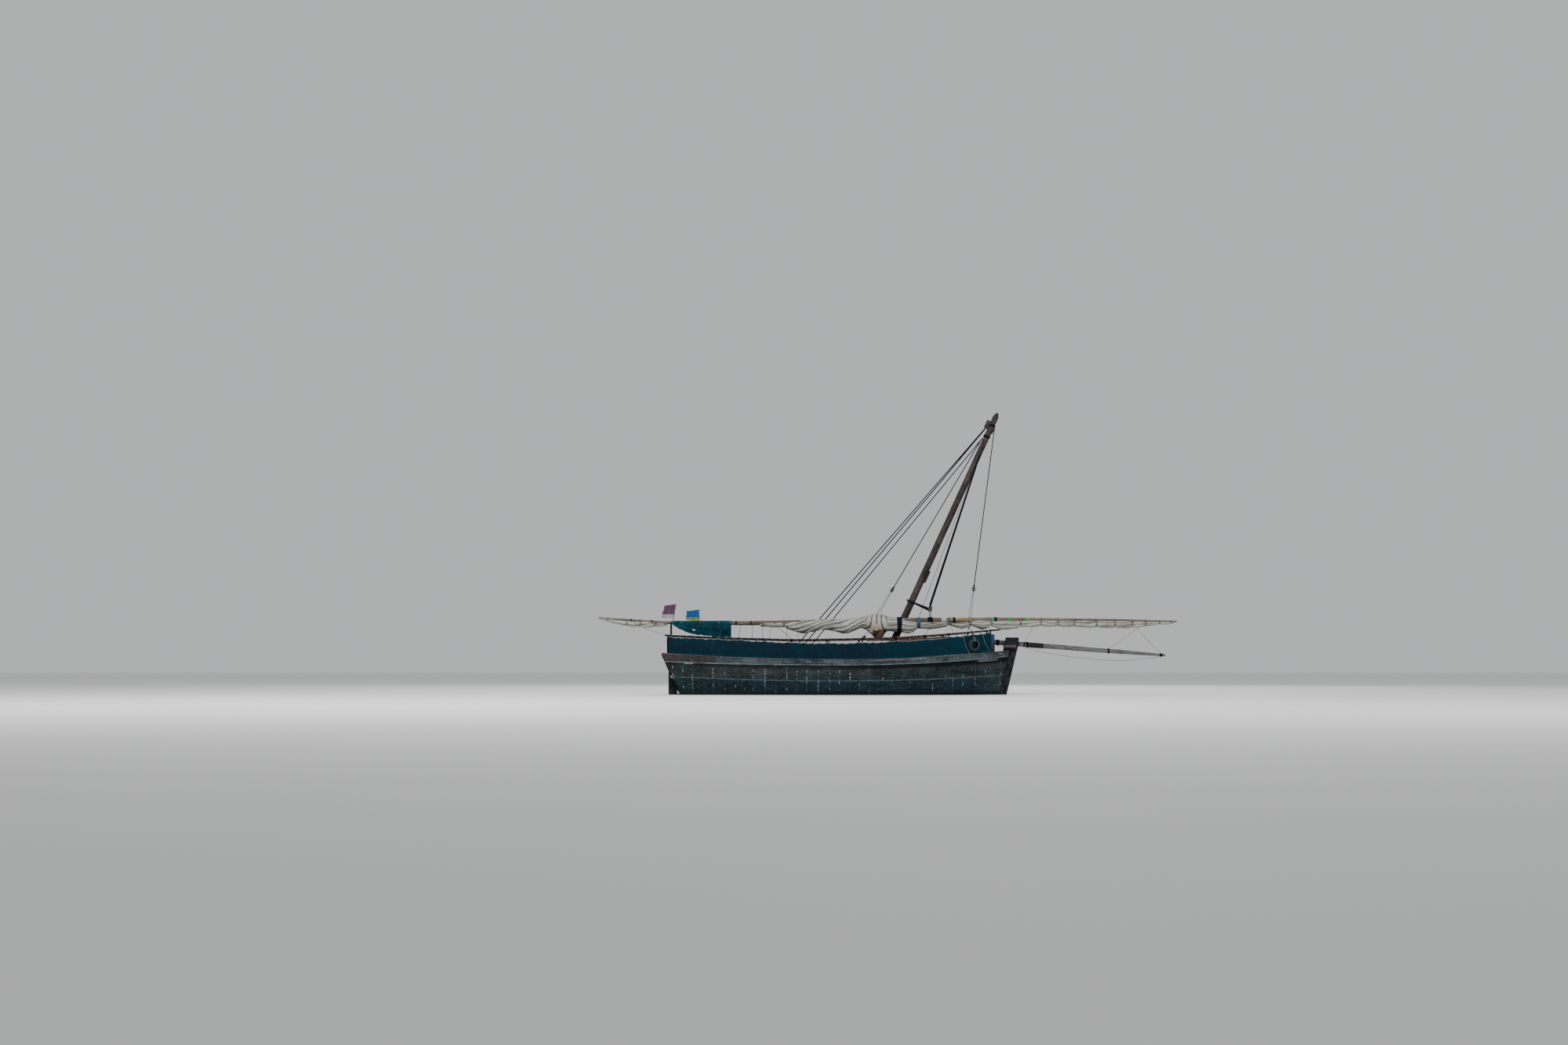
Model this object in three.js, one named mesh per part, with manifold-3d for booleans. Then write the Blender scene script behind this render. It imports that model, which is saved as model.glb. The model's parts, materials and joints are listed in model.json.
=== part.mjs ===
// Lateen-rigged wooden cargo dhow at anchor, yard lowered and sail furled.
// Millimetres. +X bow, +Y port, +Z up, origin on the centreline amidships at the waterline.
import * as THREE from 'three';
import { mergeVertices } from 'three/addons/utils/BufferGeometryUtils.js';
import Module from 'manifold-3d';

const wasm = await Module();
wasm.setup();

// Driving dimensions of the hull
const GAP = 0.3;
const KEEL_BOTTOM = -1250;
const HULL_BOTTOM = -1000;
const SIDING = 90;
const PLANK = 60;
const FRAME_DEPTH = 90;
const WALE_PROUD = 70;
const CAP_THICK = 50;
const STERN_X = -7530;
const STERN_RAKE = 0.439;
const STEM_X = 7987;
const STEM_RAKE = 0.243;
const STEM_SHOW = 390;
const FOREFOOT = 1600;
const SHEER_MID = 1685;
const SHEER_HALF_LENGTH = 8400;
const SHEER_AFT_RISE = 302;
const SHEER_FORE_RISE = 460;

// Hull stations: t from sternpost to stem, half breadth at the sheer, fullness and hollow of the section
const STATIONS = [
  [0.00, 1420, 1.30, 1.25],
  [0.06, 1650, 1.15, 1.10],
  [0.14, 1900, 1.00, 0.95],
  [0.24, 2140, 0.88, 0.84],
  [0.36, 2330, 0.80, 0.78],
  [0.48, 2420, 0.76, 0.75],
  [0.60, 2430, 0.76, 0.75],
  [0.70, 2340, 0.80, 0.78],
  [0.79, 2120, 0.86, 0.86],
  [0.87, 1710, 0.94, 0.98],
  [0.93, 1180, 1.00, 1.12],
  [0.97, 660, 1.00, 1.20],
  [1.00, 150, 1.00, 1.20],
];
const HEIGHTS = [0, 0.06, 0.14, 0.25, 0.4, 0.58, 0.78, 1];

// Rake of the mast, and two heights on its axis
const MAST_RAKE = 0.4596;
const MAST_X0 = 1441;
const MAST_FOOT_Z = -640;
const MAST_TOP_Z = 13425;
const MAST_FOOT_R = 180;
const MAST_TOP_R = 140;

// The lowered yard, on the starboard side of the mast
const YARD_Y = -520;

const WOOD_TARRED = 0x26282a;
const WOOD_GREY = 0x5f5a57;
const WOOD_RED = 0x5e4238;
const WOOD_DECK = 0x7a6a58;
const WOOD_MAST = 0x5f5148;
const WOOD_BLOCK = 0x4a3f36;
const WOOD_BOWSPRIT = 0x8d857c;
const WOOD_YARD = 0x6e5546;
const WOOD_CRUTCH = 0x2c2420;
const POLE_DARK = 0x3d332c;
const POLE_BROWN = 0x4a3b30;
const ROPE_DARK = 0x20242c;
const ROPE_PALE = 0xa89c88;
const CANVAS = 0xc9c5ba;
const CLOTH_GREEN = 0x0d4450;
const TARP_GREEN = 0x0b5a58;
const FLAG_MAROON = 0x8c2b45;
const FLAG_BLUE = 0x2f6db5;
const RUBBER = 0x151515;
const PLASTIC_BLUE = 0x1d5fae;

const group = new THREE.Group();
group.name = 'dhow';

const toRadians = THREE.MathUtils.degToRad;
const lerp = THREE.MathUtils.lerp;

// Linear reading of a table whose first column rises
function readTable(table, at, column) {
  const last = table.length - 1;
  if (at <= table[0][0]) return table[0][column];
  if (at >= table[last][0]) return table[last][column];
  const high = table.findIndex((row) => row[0] >= at);
  const low = high - 1;
  const share = (at - table[low][0]) / (table[high][0] - table[low][0]);
  return lerp(table[low][column], table[high][column], share);
}

// Closed lofted geometry through rings of equal length, each a list of [x, y, z]
function loft(rings) {
  const count = rings[0].length;
  const positions = rings.flat(2);
  const index = [];
  for (let ring = 0; ring < rings.length - 1; ring += 1) {
    for (let k = 0; k < count; k += 1) {
      const next = (k + 1) % count;
      const a = ring * count + k;
      const b = ring * count + next;
      const c = a + count;
      const d = b + count;
      index.push(a, b, c, b, d, c);
    }
  }
  const ends = [[0, true], [rings.length - 1, false]];
  for (const [ring, turned] of ends) {
    const middle = positions.length / 3;
    for (const axis of [0, 1, 2]) {
      positions.push(rings[ring].reduce((sum, point) => sum + point[axis], 0) / count);
    }
    for (let k = 0; k < count; k += 1) {
      const pair = [ring * count + k, ring * count + ((k + 1) % count)];
      if (turned) pair.reverse();
      index.push(pair[0], pair[1], middle);
    }
  }
  const geometry = new THREE.BufferGeometry();
  geometry.setAttribute('position', new THREE.Float32BufferAttribute(positions, 3));
  geometry.setIndex(index);
  return outward(geometry);
}

// The same geometry with its faces pointing out
function outward(geometry) {
  const point = geometry.getAttribute('position');
  const index = geometry.getIndex();
  const corner = [0, 1, 2].map(() => new THREE.Vector3());
  let volume = 0;
  for (let k = 0; k < index.count; k += 3) {
    corner.forEach((vector, n) => vector.fromBufferAttribute(point, index.getX(k + n)));
    volume += corner[0].dot(corner[1].clone().cross(corner[2]));
  }
  if (volume > 0) return geometry;
  const turned = [];
  for (let k = 0; k < index.count; k += 3) {
    turned.push(index.getX(k), index.getX(k + 2), index.getX(k + 1));
  }
  geometry.setIndex(turned);
  return geometry;
}

// Solids for cutting and joining
function solid(geometry) {
  const bare = geometry.clone();
  bare.deleteAttribute('normal');
  bare.deleteAttribute('uv');
  const merged = mergeVertices(bare, 1e-3);
  const vertProperties = new Float32Array(merged.getAttribute('position').array);
  const triVerts = new Uint32Array(merged.getIndex().array);
  return new wasm.Manifold(new wasm.Mesh({ numProp: 3, vertProperties, triVerts }));
}

function geometryOf(body) {
  const mesh = body.getMesh();
  const geometry = new THREE.BufferGeometry();
  const vertices = new Float32Array(mesh.vertProperties);
  geometry.setAttribute('position', new THREE.BufferAttribute(vertices, 3));
  geometry.setIndex(new THREE.BufferAttribute(new Uint32Array(mesh.triVerts), 1));
  return geometry;
}

function joined(bodies) {
  return bodies.reduce((whole, body) => whole.add(body));
}

// A sub-part from a solid or a geometry
function part(name, shape, color, roughness = 0.85, metalness = 0) {
  const geometry = shape.getMesh ? geometryOf(shape) : shape;
  const material = new THREE.MeshStandardMaterial({ color, roughness, metalness });
  const mesh = new THREE.Mesh(geometry, material);
  mesh.name = name;
  group.add(mesh);
}

// Box by its two corners
function box(low, high) {
  const size = low.map((value, axis) => high[axis] - value);
  const geometry = new THREE.BoxGeometry(...size);
  geometry.translate(...low.map((value, axis) => (value + high[axis]) / 2));
  return solid(geometry);
}

// Flat board: an outline of [x, z] points, between two heights in Y
function board(outline, lowY, highY) {
  const shape = new THREE.Shape(outline.map(([x, z]) => new THREE.Vector2(x, z)));
  const geometry = new THREE.ExtrudeGeometry(shape, { depth: highY - lowY, bevelEnabled: false });
  geometry.rotateX(Math.PI / 2);
  geometry.translate(0, highY, 0);
  return solid(geometry);
}

// Round spar through points [x, y, z, radius], each ring square to the spar
function spar(points, sides = 10) {
  const centres = points.map((row) => new THREE.Vector3(row[0], row[1], row[2]));
  const rings = centres.map((centre, k) => {
    const before = centres[Math.max(k - 1, 0)];
    const after = centres[Math.min(k + 1, centres.length - 1)];
    const along = after.clone().sub(before).normalize();
    const level = Math.abs(along.z) > 0.9 ? new THREE.Vector3(1, 0, 0) : new THREE.Vector3(0, 0, 1);
    const side = along.clone().cross(level).normalize();
    const up = side.clone().cross(along);
    const ring = [];
    for (let n = 0; n < sides; n += 1) {
      const angle = (2 * Math.PI * n) / sides;
      const out = side.clone().multiplyScalar(Math.cos(angle));
      out.addScaledVector(up, Math.sin(angle)).multiplyScalar(points[k][3]);
      ring.push(centre.clone().add(out).toArray());
    }
    return ring;
  });
  return loft(rings);
}

// Stern and stem lines, and the sheer
const sternX = (z) => STERN_X - STERN_RAKE * z;
const forefoot = (z) => FOREFOOT * Math.min(z / KEEL_BOTTOM, 1) ** 2;
const stemX = (z) => STEM_X + STEM_RAKE * z - (z < 0 ? forefoot(z) : 0);
const plankEndX = (z) => stemX(z) - STEM_SHOW;

// Sheer points at the stations: x, height of the gunwale top, half breadth
const SHEER = STATIONS.map(([t, breadth]) => {
  let x = 0;
  let z = SHEER_MID;
  for (let pass = 0; pass < 6; pass += 1) {
    x = lerp(sternX(z - CAP_THICK), plankEndX(z - CAP_THICK), t);
    const rise = x < 0 ? SHEER_AFT_RISE : SHEER_FORE_RISE;
    z = SHEER_MID + rise * (x / SHEER_HALF_LENGTH) ** 2;
  }
  return [x, z, breadth];
});
const sheerZ = (x) => readTable(SHEER, x, 1);
const sheerHalf = (x) => readTable(SHEER, x, 2);

// Depth of the wale below the sheer: x, depth
const WALE_DEPTH = [[-8400, 450], [-5000, 360], [-1500, 305], [8400, 310]];

// Points of one side of a section, pulled in by inset
function sectionSide([t, breadth, fine, hollow], top, inset) {
  const half = (s) => breadth * Math.sin((Math.PI / 2) * s ** fine) ** hollow;
  const step = 0.02;
  return HEIGHTS.map((share) => {
    const low = Math.max(share - step, 0);
    const high = Math.min(share + step, 1);
    const rise = (high - low) * (top - HULL_BOTTOM);
    const spread = half(high) - half(low);
    const size = Math.hypot(rise, spread);
    const y = Math.max(half(share) - (inset * rise) / size, 1);
    const lift = share < 1 ? (inset * spread) / size : 0;
    const z = Math.min(lerp(HULL_BOTTOM, top, share) + lift, top - (1 - share));
    return [lerp(sternX(z), plankEndX(z), t), y, z];
  });
}

// Closed volume of the hull, pulled in by inset, run past its ends and top by over
function hullVolume(inset, over = 0) {
  const rings = STATIONS.map((row, k) => {
    const side = sectionSide(row, SHEER[k][1] - CAP_THICK, inset);
    const [x, y, z] = side[side.length - 1];
    if (over) side.push([x - STERN_RAKE * over * (1 - row[0]), y, z + over]);
    side[0][1] = 0;
    const other = side.slice(1).reverse().map((point) => [point[0], -point[1], point[2]]);
    return [...side, ...other];
  });
  if (over) {
    const aft = rings[0].map(([x, y, z]) => [x - over, y, z]);
    const fore = rings[rings.length - 1].map(([x, y, z]) => [x + over, y, z]);
    rings.unshift(aft);
    rings.push(fore);
  }
  return solid(loft(rings));
}

const FAR = 4000;
const LONG = 12000;
const DEEP = -3000;
const SLIVER = 0.5;
const PORT = box([-LONG, 0, DEEP], [LONG, FAR, FAR]);
const STARBOARD = box([-LONG, -FAR, DEEP], [LONG, 0, FAR]);
const SPINE = box([-LONG, -SIDING - GAP, DEEP], [LONG, SIDING + GAP, FAR]);
const SIDES = [['port', PORT, 1], ['starboard', STARBOARD, -1]];

// Board between two heights that both follow the sheer, from x0 to x1
function sheerBand(x0, x1, low, high, halfY = FAR) {
  const inner = SHEER.map((row) => row[0]).filter((x) => x > x0 + 1 && x < x1 - 1);
  const xs = [x0, ...inner, x1];
  const bottom = xs.map((x) => [x, sheerZ(x) + low(x)]);
  const top = xs.map((x) => [x, sheerZ(x) + high(x)]).reverse();
  return board([...bottom, ...top], -halfY, halfY);
}

const outer = hullVolume(0);
const outerClear = hullVolume(-GAP, 150);
const waleVolume = hullVolume(-WALE_PROUD);
const plankInside = hullVolume(PLANK, 200);
const frameOutside = hullVolume(PLANK + GAP);
const frameInside = hullVolume(PLANK + FRAME_DEPTH, 200);
const lining = hullVolume(PLANK + FRAME_DEPTH + GAP);

// Planking and wales
const planking = outer.subtract(plankInside).subtract(SPINE);
const waleDepth = (x) => -readTable(WALE_DEPTH, x, 1);
const waleBand = sheerBand(-9000, 9000, waleDepth, () => 100);
const wale = waleVolume.subtract(outerClear).subtract(SPINE).intersect(waleBand);
for (const [side, half] of SIDES) {
  part(`planking_${side}`, planking.intersect(half), WOOD_TARRED, 0.8);
  part(`wale_${side}`, wale.intersect(half), WOOD_GREY, 0.9);
}

// Gunwale caps on top of planking and wale, ending beside the stem
const CAP_OVERHANG = 12;
const CAP_INBOARD = PLANK + FRAME_DEPTH + 12;
for (const [side, , sign] of SIDES) {
  const rings = SHEER.map(([x, z, half]) => {
    const inY = Math.max(half - CAP_INBOARD, SIDING + GAP) * sign;
    const outY = (half + WALE_PROUD + CAP_OVERHANG) * sign;
    const low = z - CAP_THICK + GAP;
    return [[x, inY, low], [x, outY, low], [x, outY, z], [x, inY, z]];
  });
  part(`gunwale_${side}`, loft(rings), WOOD_GREY, 0.9);
}

// Frames and the beam shelf that joins them, inside the planking
const FRAME_XS = [];
for (let x = -6600; x <= 6600; x += 1200) FRAME_XS.push(x);
const FRAME_WIDE = 90;
const SHELF_LOW = -640;
const SHELF_HIGH = -520;
const SHELF_WIDE = 70;
const frameShell = frameOutside.subtract(frameInside).subtract(SPINE);
const frameSlabs = joined(FRAME_XS.map((x) => (
  box([x - FRAME_WIDE / 2, -FAR, DEEP], [x + FRAME_WIDE / 2, FAR, FAR])
)));
const shelfBand = sheerBand(-7100, 6800, () => SHELF_LOW, () => SHELF_HIGH);
const shelfOutside = hullVolume(PLANK + FRAME_DEPTH - 15);
const shelfInside = hullVolume(PLANK + FRAME_DEPTH + SHELF_WIDE, 200);
const shelf = shelfOutside.subtract(shelfInside).intersect(shelfBand);
const framing = frameShell.intersect(frameSlabs).add(shelf);
for (const [side, half] of SIDES) {
  part(`frames_${side}`, framing.intersect(half), WOOD_RED, 0.9);
}

// Backbone: keel, keelson, stem with its head, sternpost with the rudder lugs
const KEEL_TOP = -850;
const KEEL_FORE_X = 5600;
const STEM_HEAD = { aft: 7969, fore: 8587, low: 2325, top: 2726 };
const STEM_DEPTH = STEM_SHOW + 190;
const POST_TOP = 1600;
const POST_DEPTH = 200;
const keelOutline = [
  [sternX(KEEL_BOTTOM), KEEL_BOTTOM],
  [KEEL_FORE_X, KEEL_BOTTOM],
  [KEEL_FORE_X, KEEL_TOP],
  [sternX(KEEL_TOP), KEEL_TOP],
];
part('keel', board(keelOutline, -SIDING, SIDING), WOOD_TARRED, 0.9);

const stemHeights = [KEEL_BOTTOM, -950, -600, -250, 0, STEM_HEAD.low];
const stemFront = stemHeights.map((z) => [stemX(z), z]);
const stemOutline = [
  [KEEL_FORE_X + GAP, KEEL_TOP],
  [KEEL_FORE_X + GAP, KEEL_BOTTOM],
  ...stemFront,
  [STEM_HEAD.fore, STEM_HEAD.low],
  [STEM_HEAD.fore, STEM_HEAD.top],
  [STEM_HEAD.aft, STEM_HEAD.top],
  [stemX(0) - STEM_DEPTH, 0],
  [stemX(-400) - STEM_DEPTH - 120, -400],
];
part('stem', board(stemOutline, -SIDING, SIDING), WOOD_TARRED, 0.85);

const KEELSON_TOP = -650;
const keelson = box([-6000, -SIDING, KEEL_TOP + GAP], [KEEL_FORE_X - 200, SIDING, KEELSON_TOP]);
part('keelson', keelson, WOOD_RED, 0.9);

// Rudder axis, raked with the sternpost, a little aft of its face
const RAKE = Math.atan(STERN_RAKE);
const AXIS_OFF = 46;
const axisX = (z) => sternX(z) - AXIS_OFF / Math.cos(RAKE);
const RUDDER_HALF = 40;
const PIN_R = 16;
const LUG_HALF = 60;
const LUG_ZS = [-650, 150, 900];

// Shape made about the rudder axis: local Z along it, local X aft, centred at height z
function onAxis(geometry, z) {
  geometry.rotateY(-RAKE);
  geometry.translate(axisX(z), 0, z);
  return solid(geometry);
}
function axisBox(z, foreU, aftU, halfY, lowW, highW) {
  const geometry = new THREE.BoxGeometry(aftU - foreU, 2 * halfY, highW - lowW);
  geometry.translate(-(aftU + foreU) / 2, 0, (highW + lowW) / 2);
  return onAxis(geometry, z);
}
function axisRod(z, radius, lowW, highW, sides = 24) {
  const geometry = new THREE.CylinderGeometry(radius, radius, highW - lowW, sides);
  geometry.rotateX(Math.PI / 2);
  geometry.translate(0, 0, (highW + lowW) / 2);
  return onAxis(geometry, z);
}

const postOutline = [
  [sternX(KEEL_TOP + GAP), KEEL_TOP + GAP],
  [sternX(KEEL_TOP) + 2 * POST_DEPTH, KEEL_TOP + GAP],
  [sternX(POST_TOP) + POST_DEPTH, POST_TOP],
  [sternX(POST_TOP), POST_TOP],
];
const LUG_REACH = 36;
const BORE_R = PIN_R + 0.7;
const lugs = LUG_ZS.map((z) => {
  const lug = axisBox(z, -AXIS_OFF - 20, LUG_REACH, RUDDER_HALF, -LUG_HALF, LUG_HALF);
  return lug.subtract(axisRod(z, BORE_R, -LUG_HALF - 5, LUG_HALF + 5));
});
const sternpost = board(postOutline, -SIDING, SIDING).subtract(keelson);
part('sternpost', joined([sternpost, ...lugs]), WOOD_TARRED, 0.9);

// Transom board with the tiller port
const TRANSOM_THICK = 64;
const TILLER_PORT = { half: 190, low: 1640, high: 1860 };
const TRANSOM_FOOT = -330;
const TRANSOM_INSET = 2;
const transomOutline = [
  [sternX(TRANSOM_FOOT) + TRANSOM_INSET, TRANSOM_FOOT],
  [sternX(TRANSOM_FOOT) + TRANSOM_THICK, TRANSOM_FOOT],
  [sternX(2500) + TRANSOM_THICK, 2500],
  [sternX(2500) + TRANSOM_INSET, 2500],
];
const transomTop = sheerBand(-9000, -7000, () => -4000, () => -CAP_THICK);
const postRoom = box([-LONG, -SIDING - GAP, DEEP], [0, SIDING + GAP, POST_TOP + GAP]);
const portRoom = box(
  [-LONG, -TILLER_PORT.half, TILLER_PORT.low],
  [0, TILLER_PORT.half, TILLER_PORT.high],
);
const transom = board(transomOutline, -FAR, FAR)
  .intersect(hullVolume(PLANK + GAP, 100))
  .intersect(transomTop)
  .subtract(postRoom)
  .subtract(portRoom);
part('transom', transom, WOOD_TARRED, 0.85);

// Rudder, held by pins through the lugs
const RUDDER_HEAD_TOP = 1930;
const RUDDER_HEEL = -1100;
const BLADE_AFT_X = -8137;
const HEAD_AFT = 62;
const rudderOutline = [
  [axisX(RUDDER_HEEL), RUDDER_HEEL],
  [axisX(RUDDER_HEAD_TOP), RUDDER_HEAD_TOP],
  [axisX(RUDDER_HEAD_TOP) - HEAD_AFT, RUDDER_HEAD_TOP],
  [axisX(1090) - HEAD_AFT, 1090],
  [BLADE_AFT_X, 1040],
  [BLADE_AFT_X, -300],
  [BLADE_AFT_X + 190, RUDDER_HEEL],
];
const TILLER_R = 28;
const TILLER_Z = 1760;
const TILLER_TIP_Z = 1935;
const TILLER_TIP_X = -6750;
const tillerRoute = [
  [axisX(TILLER_Z) - 90, 0, TILLER_Z - 12, TILLER_R],
  [axisX(TILLER_Z) + 500, 0, TILLER_Z + 55, TILLER_R],
  [TILLER_TIP_X, 0, TILLER_TIP_Z, TILLER_R - 5],
];
const mortiseRoute = tillerRoute.slice(0, 2).map(([x, y, z, r]) => [x - 60, y, z - 7, r + 0.6]);
const mortise = spar(mortiseRoute, 12);
const rudderBody = board(rudderOutline, -RUDDER_HALF, RUDDER_HALF);
const stockLength = (RUDDER_HEAD_TOP - RUDDER_HEEL) / Math.cos(RAKE);
const stock = axisRod(RUDDER_HEEL, RUDDER_HALF, 10, stockLength - 30, 16);
const notches = LUG_ZS.map((z) => axisBox(z, -90, 70, RUDDER_HALF + 5, -90, LUG_HALF + 0.5));
const pins = LUG_ZS.map((z) => axisRod(z, PIN_R, -130, 130));
const rudder = joined([
  rudderBody.add(stock).subtract(joined(notches)),
  ...pins,
]).subtract(solid(mortise));
part('rudder', rudder, WOOD_TARRED, 0.9);
part('tiller', spar(tillerRoute, 12), WOOD_GREY, 0.8);

// Decks, hold floor and beams, inside the frames
const mastX = (z) => MAST_X0 + MAST_RAKE * z;
const POOP_FORE_X = -4250;
const DECK_THICK = 45;
const FOREDECK_AFT_X = 5300;
const FOREDECK_DROP = 60;
const FLOOR_Z = -600;
const floorBand = box([-6200, -FAR, KEELSON_TOP + GAP], [KEEL_FORE_X - 300, FAR, FLOOR_Z]);
part('hold_floor', floorBand.intersect(lining), WOOD_DECK, 0.9);

const BEAM_DEEP = 150;
const BEAM_WIDE = 180;
const BEAM_LOW = SHELF_HIGH + 0.8;
function beam(x, halfWide, low, high) {
  const band = sheerBand(x - halfWide, x + halfWide, () => low, () => high);
  return band.intersect(lining);
}
const FORE_BEAM_LOW = -FOREDECK_DROP - DECK_THICK - BEAM_DEEP - SLIVER;
const BEAMS = [
  ['poop_aft', -6600, BEAM_LOW],
  ['poop', -4350, BEAM_LOW],
  ['hold_aft', -1800, BEAM_LOW],
  ['hold_fore', 600, BEAM_LOW],
  ['foredeck', 5400, FORE_BEAM_LOW],
];
for (const [name, x, low] of BEAMS) {
  part(`beam_${name}`, beam(x, BEAM_WIDE / 2, low, low + BEAM_DEEP), WOOD_RED, 0.9);
}

const POOP_UNDER = BEAM_LOW + BEAM_DEEP + SLIVER;
const poopDeck = sheerBand(
  -8300,
  POOP_FORE_X,
  () => POOP_UNDER,
  () => POOP_UNDER + DECK_THICK,
);
const transomClear = sternX(0) + TRANSOM_THICK + 4;
const aftOfTransom = board([
  [transomClear - STERN_RAKE * DEEP, DEEP],
  [transomClear - STERN_RAKE * 3000, 3000],
  [-LONG, 3000],
  [-LONG, DEEP],
], -FAR, FAR);
const postClear = board(
  [
    [-LONG, -2000],
    [sternX(-2000) + POST_DEPTH + 10, -2000],
    [sternX(2000) + POST_DEPTH + 10, 2000],
    [-LONG, 2000],
  ],
  -SIDING - 5,
  SIDING + 5,
);
const poop = poopDeck.intersect(lining).subtract(aftOfTransom).subtract(postClear);
part('poop_deck', poop, WOOD_DECK, 0.9);
const foreBand = sheerBand(
  FOREDECK_AFT_X,
  7900,
  () => -FOREDECK_DROP - DECK_THICK,
  () => -FOREDECK_DROP,
);
const stemRoom = box([stemX(1500) - STEM_DEPTH, -SIDING - 3, DEEP], [LONG, SIDING + 3, FAR]);
part('foredeck', foreBand.intersect(lining).subtract(stemRoom), WOOD_DECK, 0.9);

// Mast, raked forward, on a step block, through a mast beam
const MAST_SIDES = 14;
const mastR = (z) => lerp(MAST_FOOT_R, MAST_TOP_R, (z - MAST_FOOT_Z) / (MAST_TOP_Z - MAST_FOOT_Z));
const mastRow = (z, grow = 0) => [mastX(z), 0, z, mastR(z) + grow];
const STEP_TOP = -360;
const STEP = { half: 420, halfWide: 260, x: mastX(STEP_TOP) };
const stepBlock = box(
  [STEP.x - STEP.half, -STEP.halfWide, FLOOR_Z + GAP],
  [STEP.x + STEP.half, STEP.halfWide, STEP_TOP],
);
part('mast_step', stepBlock, WOOD_RED, 0.9);
const mastZs = [MAST_FOOT_Z, 3000, 8000, MAST_TOP_Z];
const mastLog = solid(spar(mastZs.map((z) => mastRow(z)), MAST_SIDES));
const mastRoom = solid(spar(mastZs.map((z) => mastRow(z, 0.6)), MAST_SIDES));
const aboveStep = box([-LONG, -FAR, STEP_TOP + GAP], [LONG, FAR, 20000]);
part('mast', mastLog.intersect(aboveStep), WOOD_MAST, 0.8);
const MAST_BEAM_X = mastX(sheerZ(2100) - 450);
const mastBeam = beam(MAST_BEAM_X, 330, BEAM_LOW, BEAM_LOW + BEAM_DEEP).subtract(mastRoom);
part('mast_beam', mastBeam, WOOD_RED, 0.9);

// Masthead: sheave block on the aft side
const alongMast = new THREE.Vector3(MAST_RAKE, 0, 1).normalize();
const HOUNDS_Z = 12900;
const hounds = new THREE.BoxGeometry(150, 150, 320);
hounds.rotateY(Math.atan(MAST_RAKE));
hounds.translate(mastX(HOUNDS_Z) - mastR(HOUNDS_Z) - 60, 0, HOUNDS_Z + 60);
part('masthead_block', solid(hounds).subtract(mastRoom), WOOD_BLOCK, 0.8);

// Bowsprit to port of the stemhead, its heel on a cross bitt
const BOWSPRIT_Y = SIDING + 120 + GAP;
const bowspritZ = (x) => 2411 - 0.0762 * (x - 8587);
const BOWSPRIT = [[6480, 118], [8587, 120], [13000, 105], [15619, 55]];
const bowspritRows = (grow) => BOWSPRIT.map(([x, r]) => [x, BOWSPRIT_Y, bowspritZ(x), r + grow]);
part('bowsprit', spar(bowspritRows(0), 12), WOOD_BOWSPRIT, 0.8);
const BITT_X = 6650;
const BITT_HALF = 85;
const bittTop = bowspritZ(BITT_X) - 20;
const deckTop = (x) => sheerZ(x) - FOREDECK_DROP + GAP;
const bittPost = (y) => box(
  [BITT_X - BITT_HALF, y - BITT_HALF, deckTop(BITT_X + BITT_HALF)],
  [BITT_X + BITT_HALF, y + BITT_HALF, bittTop + 230],
);
const bittBar = box([BITT_X - 70, -620, bittTop - 130], [BITT_X + 70, 620, bittTop]);
const bitt = joined([bittPost(-420), bittPost(520), bittBar]);
const bittClear = solid(spar(bowspritRows(0.6), 12));
part('bowsprit_bitt', bitt.subtract(bittClear), WOOD_GREY, 0.9);

// Taffrail on the transom, between the gunwale caps
const TAFFRAIL_HALF = STATIONS[0][1] - CAP_INBOARD - 3;
const taffrail = box(
  [SHEER[0][0] - 20, -TAFFRAIL_HALF, SHEER[0][1] - CAP_THICK + GAP],
  [SHEER[0][0] + 170, TAFFRAIL_HALF, SHEER[0][1]],
);
part('taffrail', taffrail, WOOD_GREY, 0.9);

// Rail poles on stanchions, x of each stanchion, and the wash cloths tied outside them
const STANCHION_XS = [
  -8000, -6900, -5800, -4730, -3540, -2260, -540, 1040, 2600, 3970, 5100, 6280, 7150,
];
const RAIL_TOP = [
  [-8240, 2807], [-5195, 2668], [-1892, 2582], [2350, 2663], [5114, 2861], [7700, 3095],
];
const CLOTH_TOP = [
  [-8096, 2740], [-5195, 2610], [-2625, 2483], [307, 2446], [3900, 2600], [5460, 2758], [7170, 2950],
];
const RAIL_R = 34;
const POST_R = 30;
const RAIL_INSET = 20;
const CLOTH_THICK = 20;
const railZ = (x) => readTable(RAIL_TOP, x, 1);
const railY = (x) => sheerHalf(x) - RAIL_INSET;
const railXs = [-8240, ...STANCHION_XS, 7690];
const clothXs = [-8060, ...STANCHION_XS.slice(1), 7190];

function stretch(xs, k) {
  const slopes = [k - 1, k].filter((n) => n >= 0 && n < xs.length - 1).map((n) => (
    (railY(xs[n + 1]) - railY(xs[n])) / (xs[n + 1] - xs[n])
  ));
  return Math.max(...slopes.map((slope) => Math.hypot(1, slope)));
}

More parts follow.
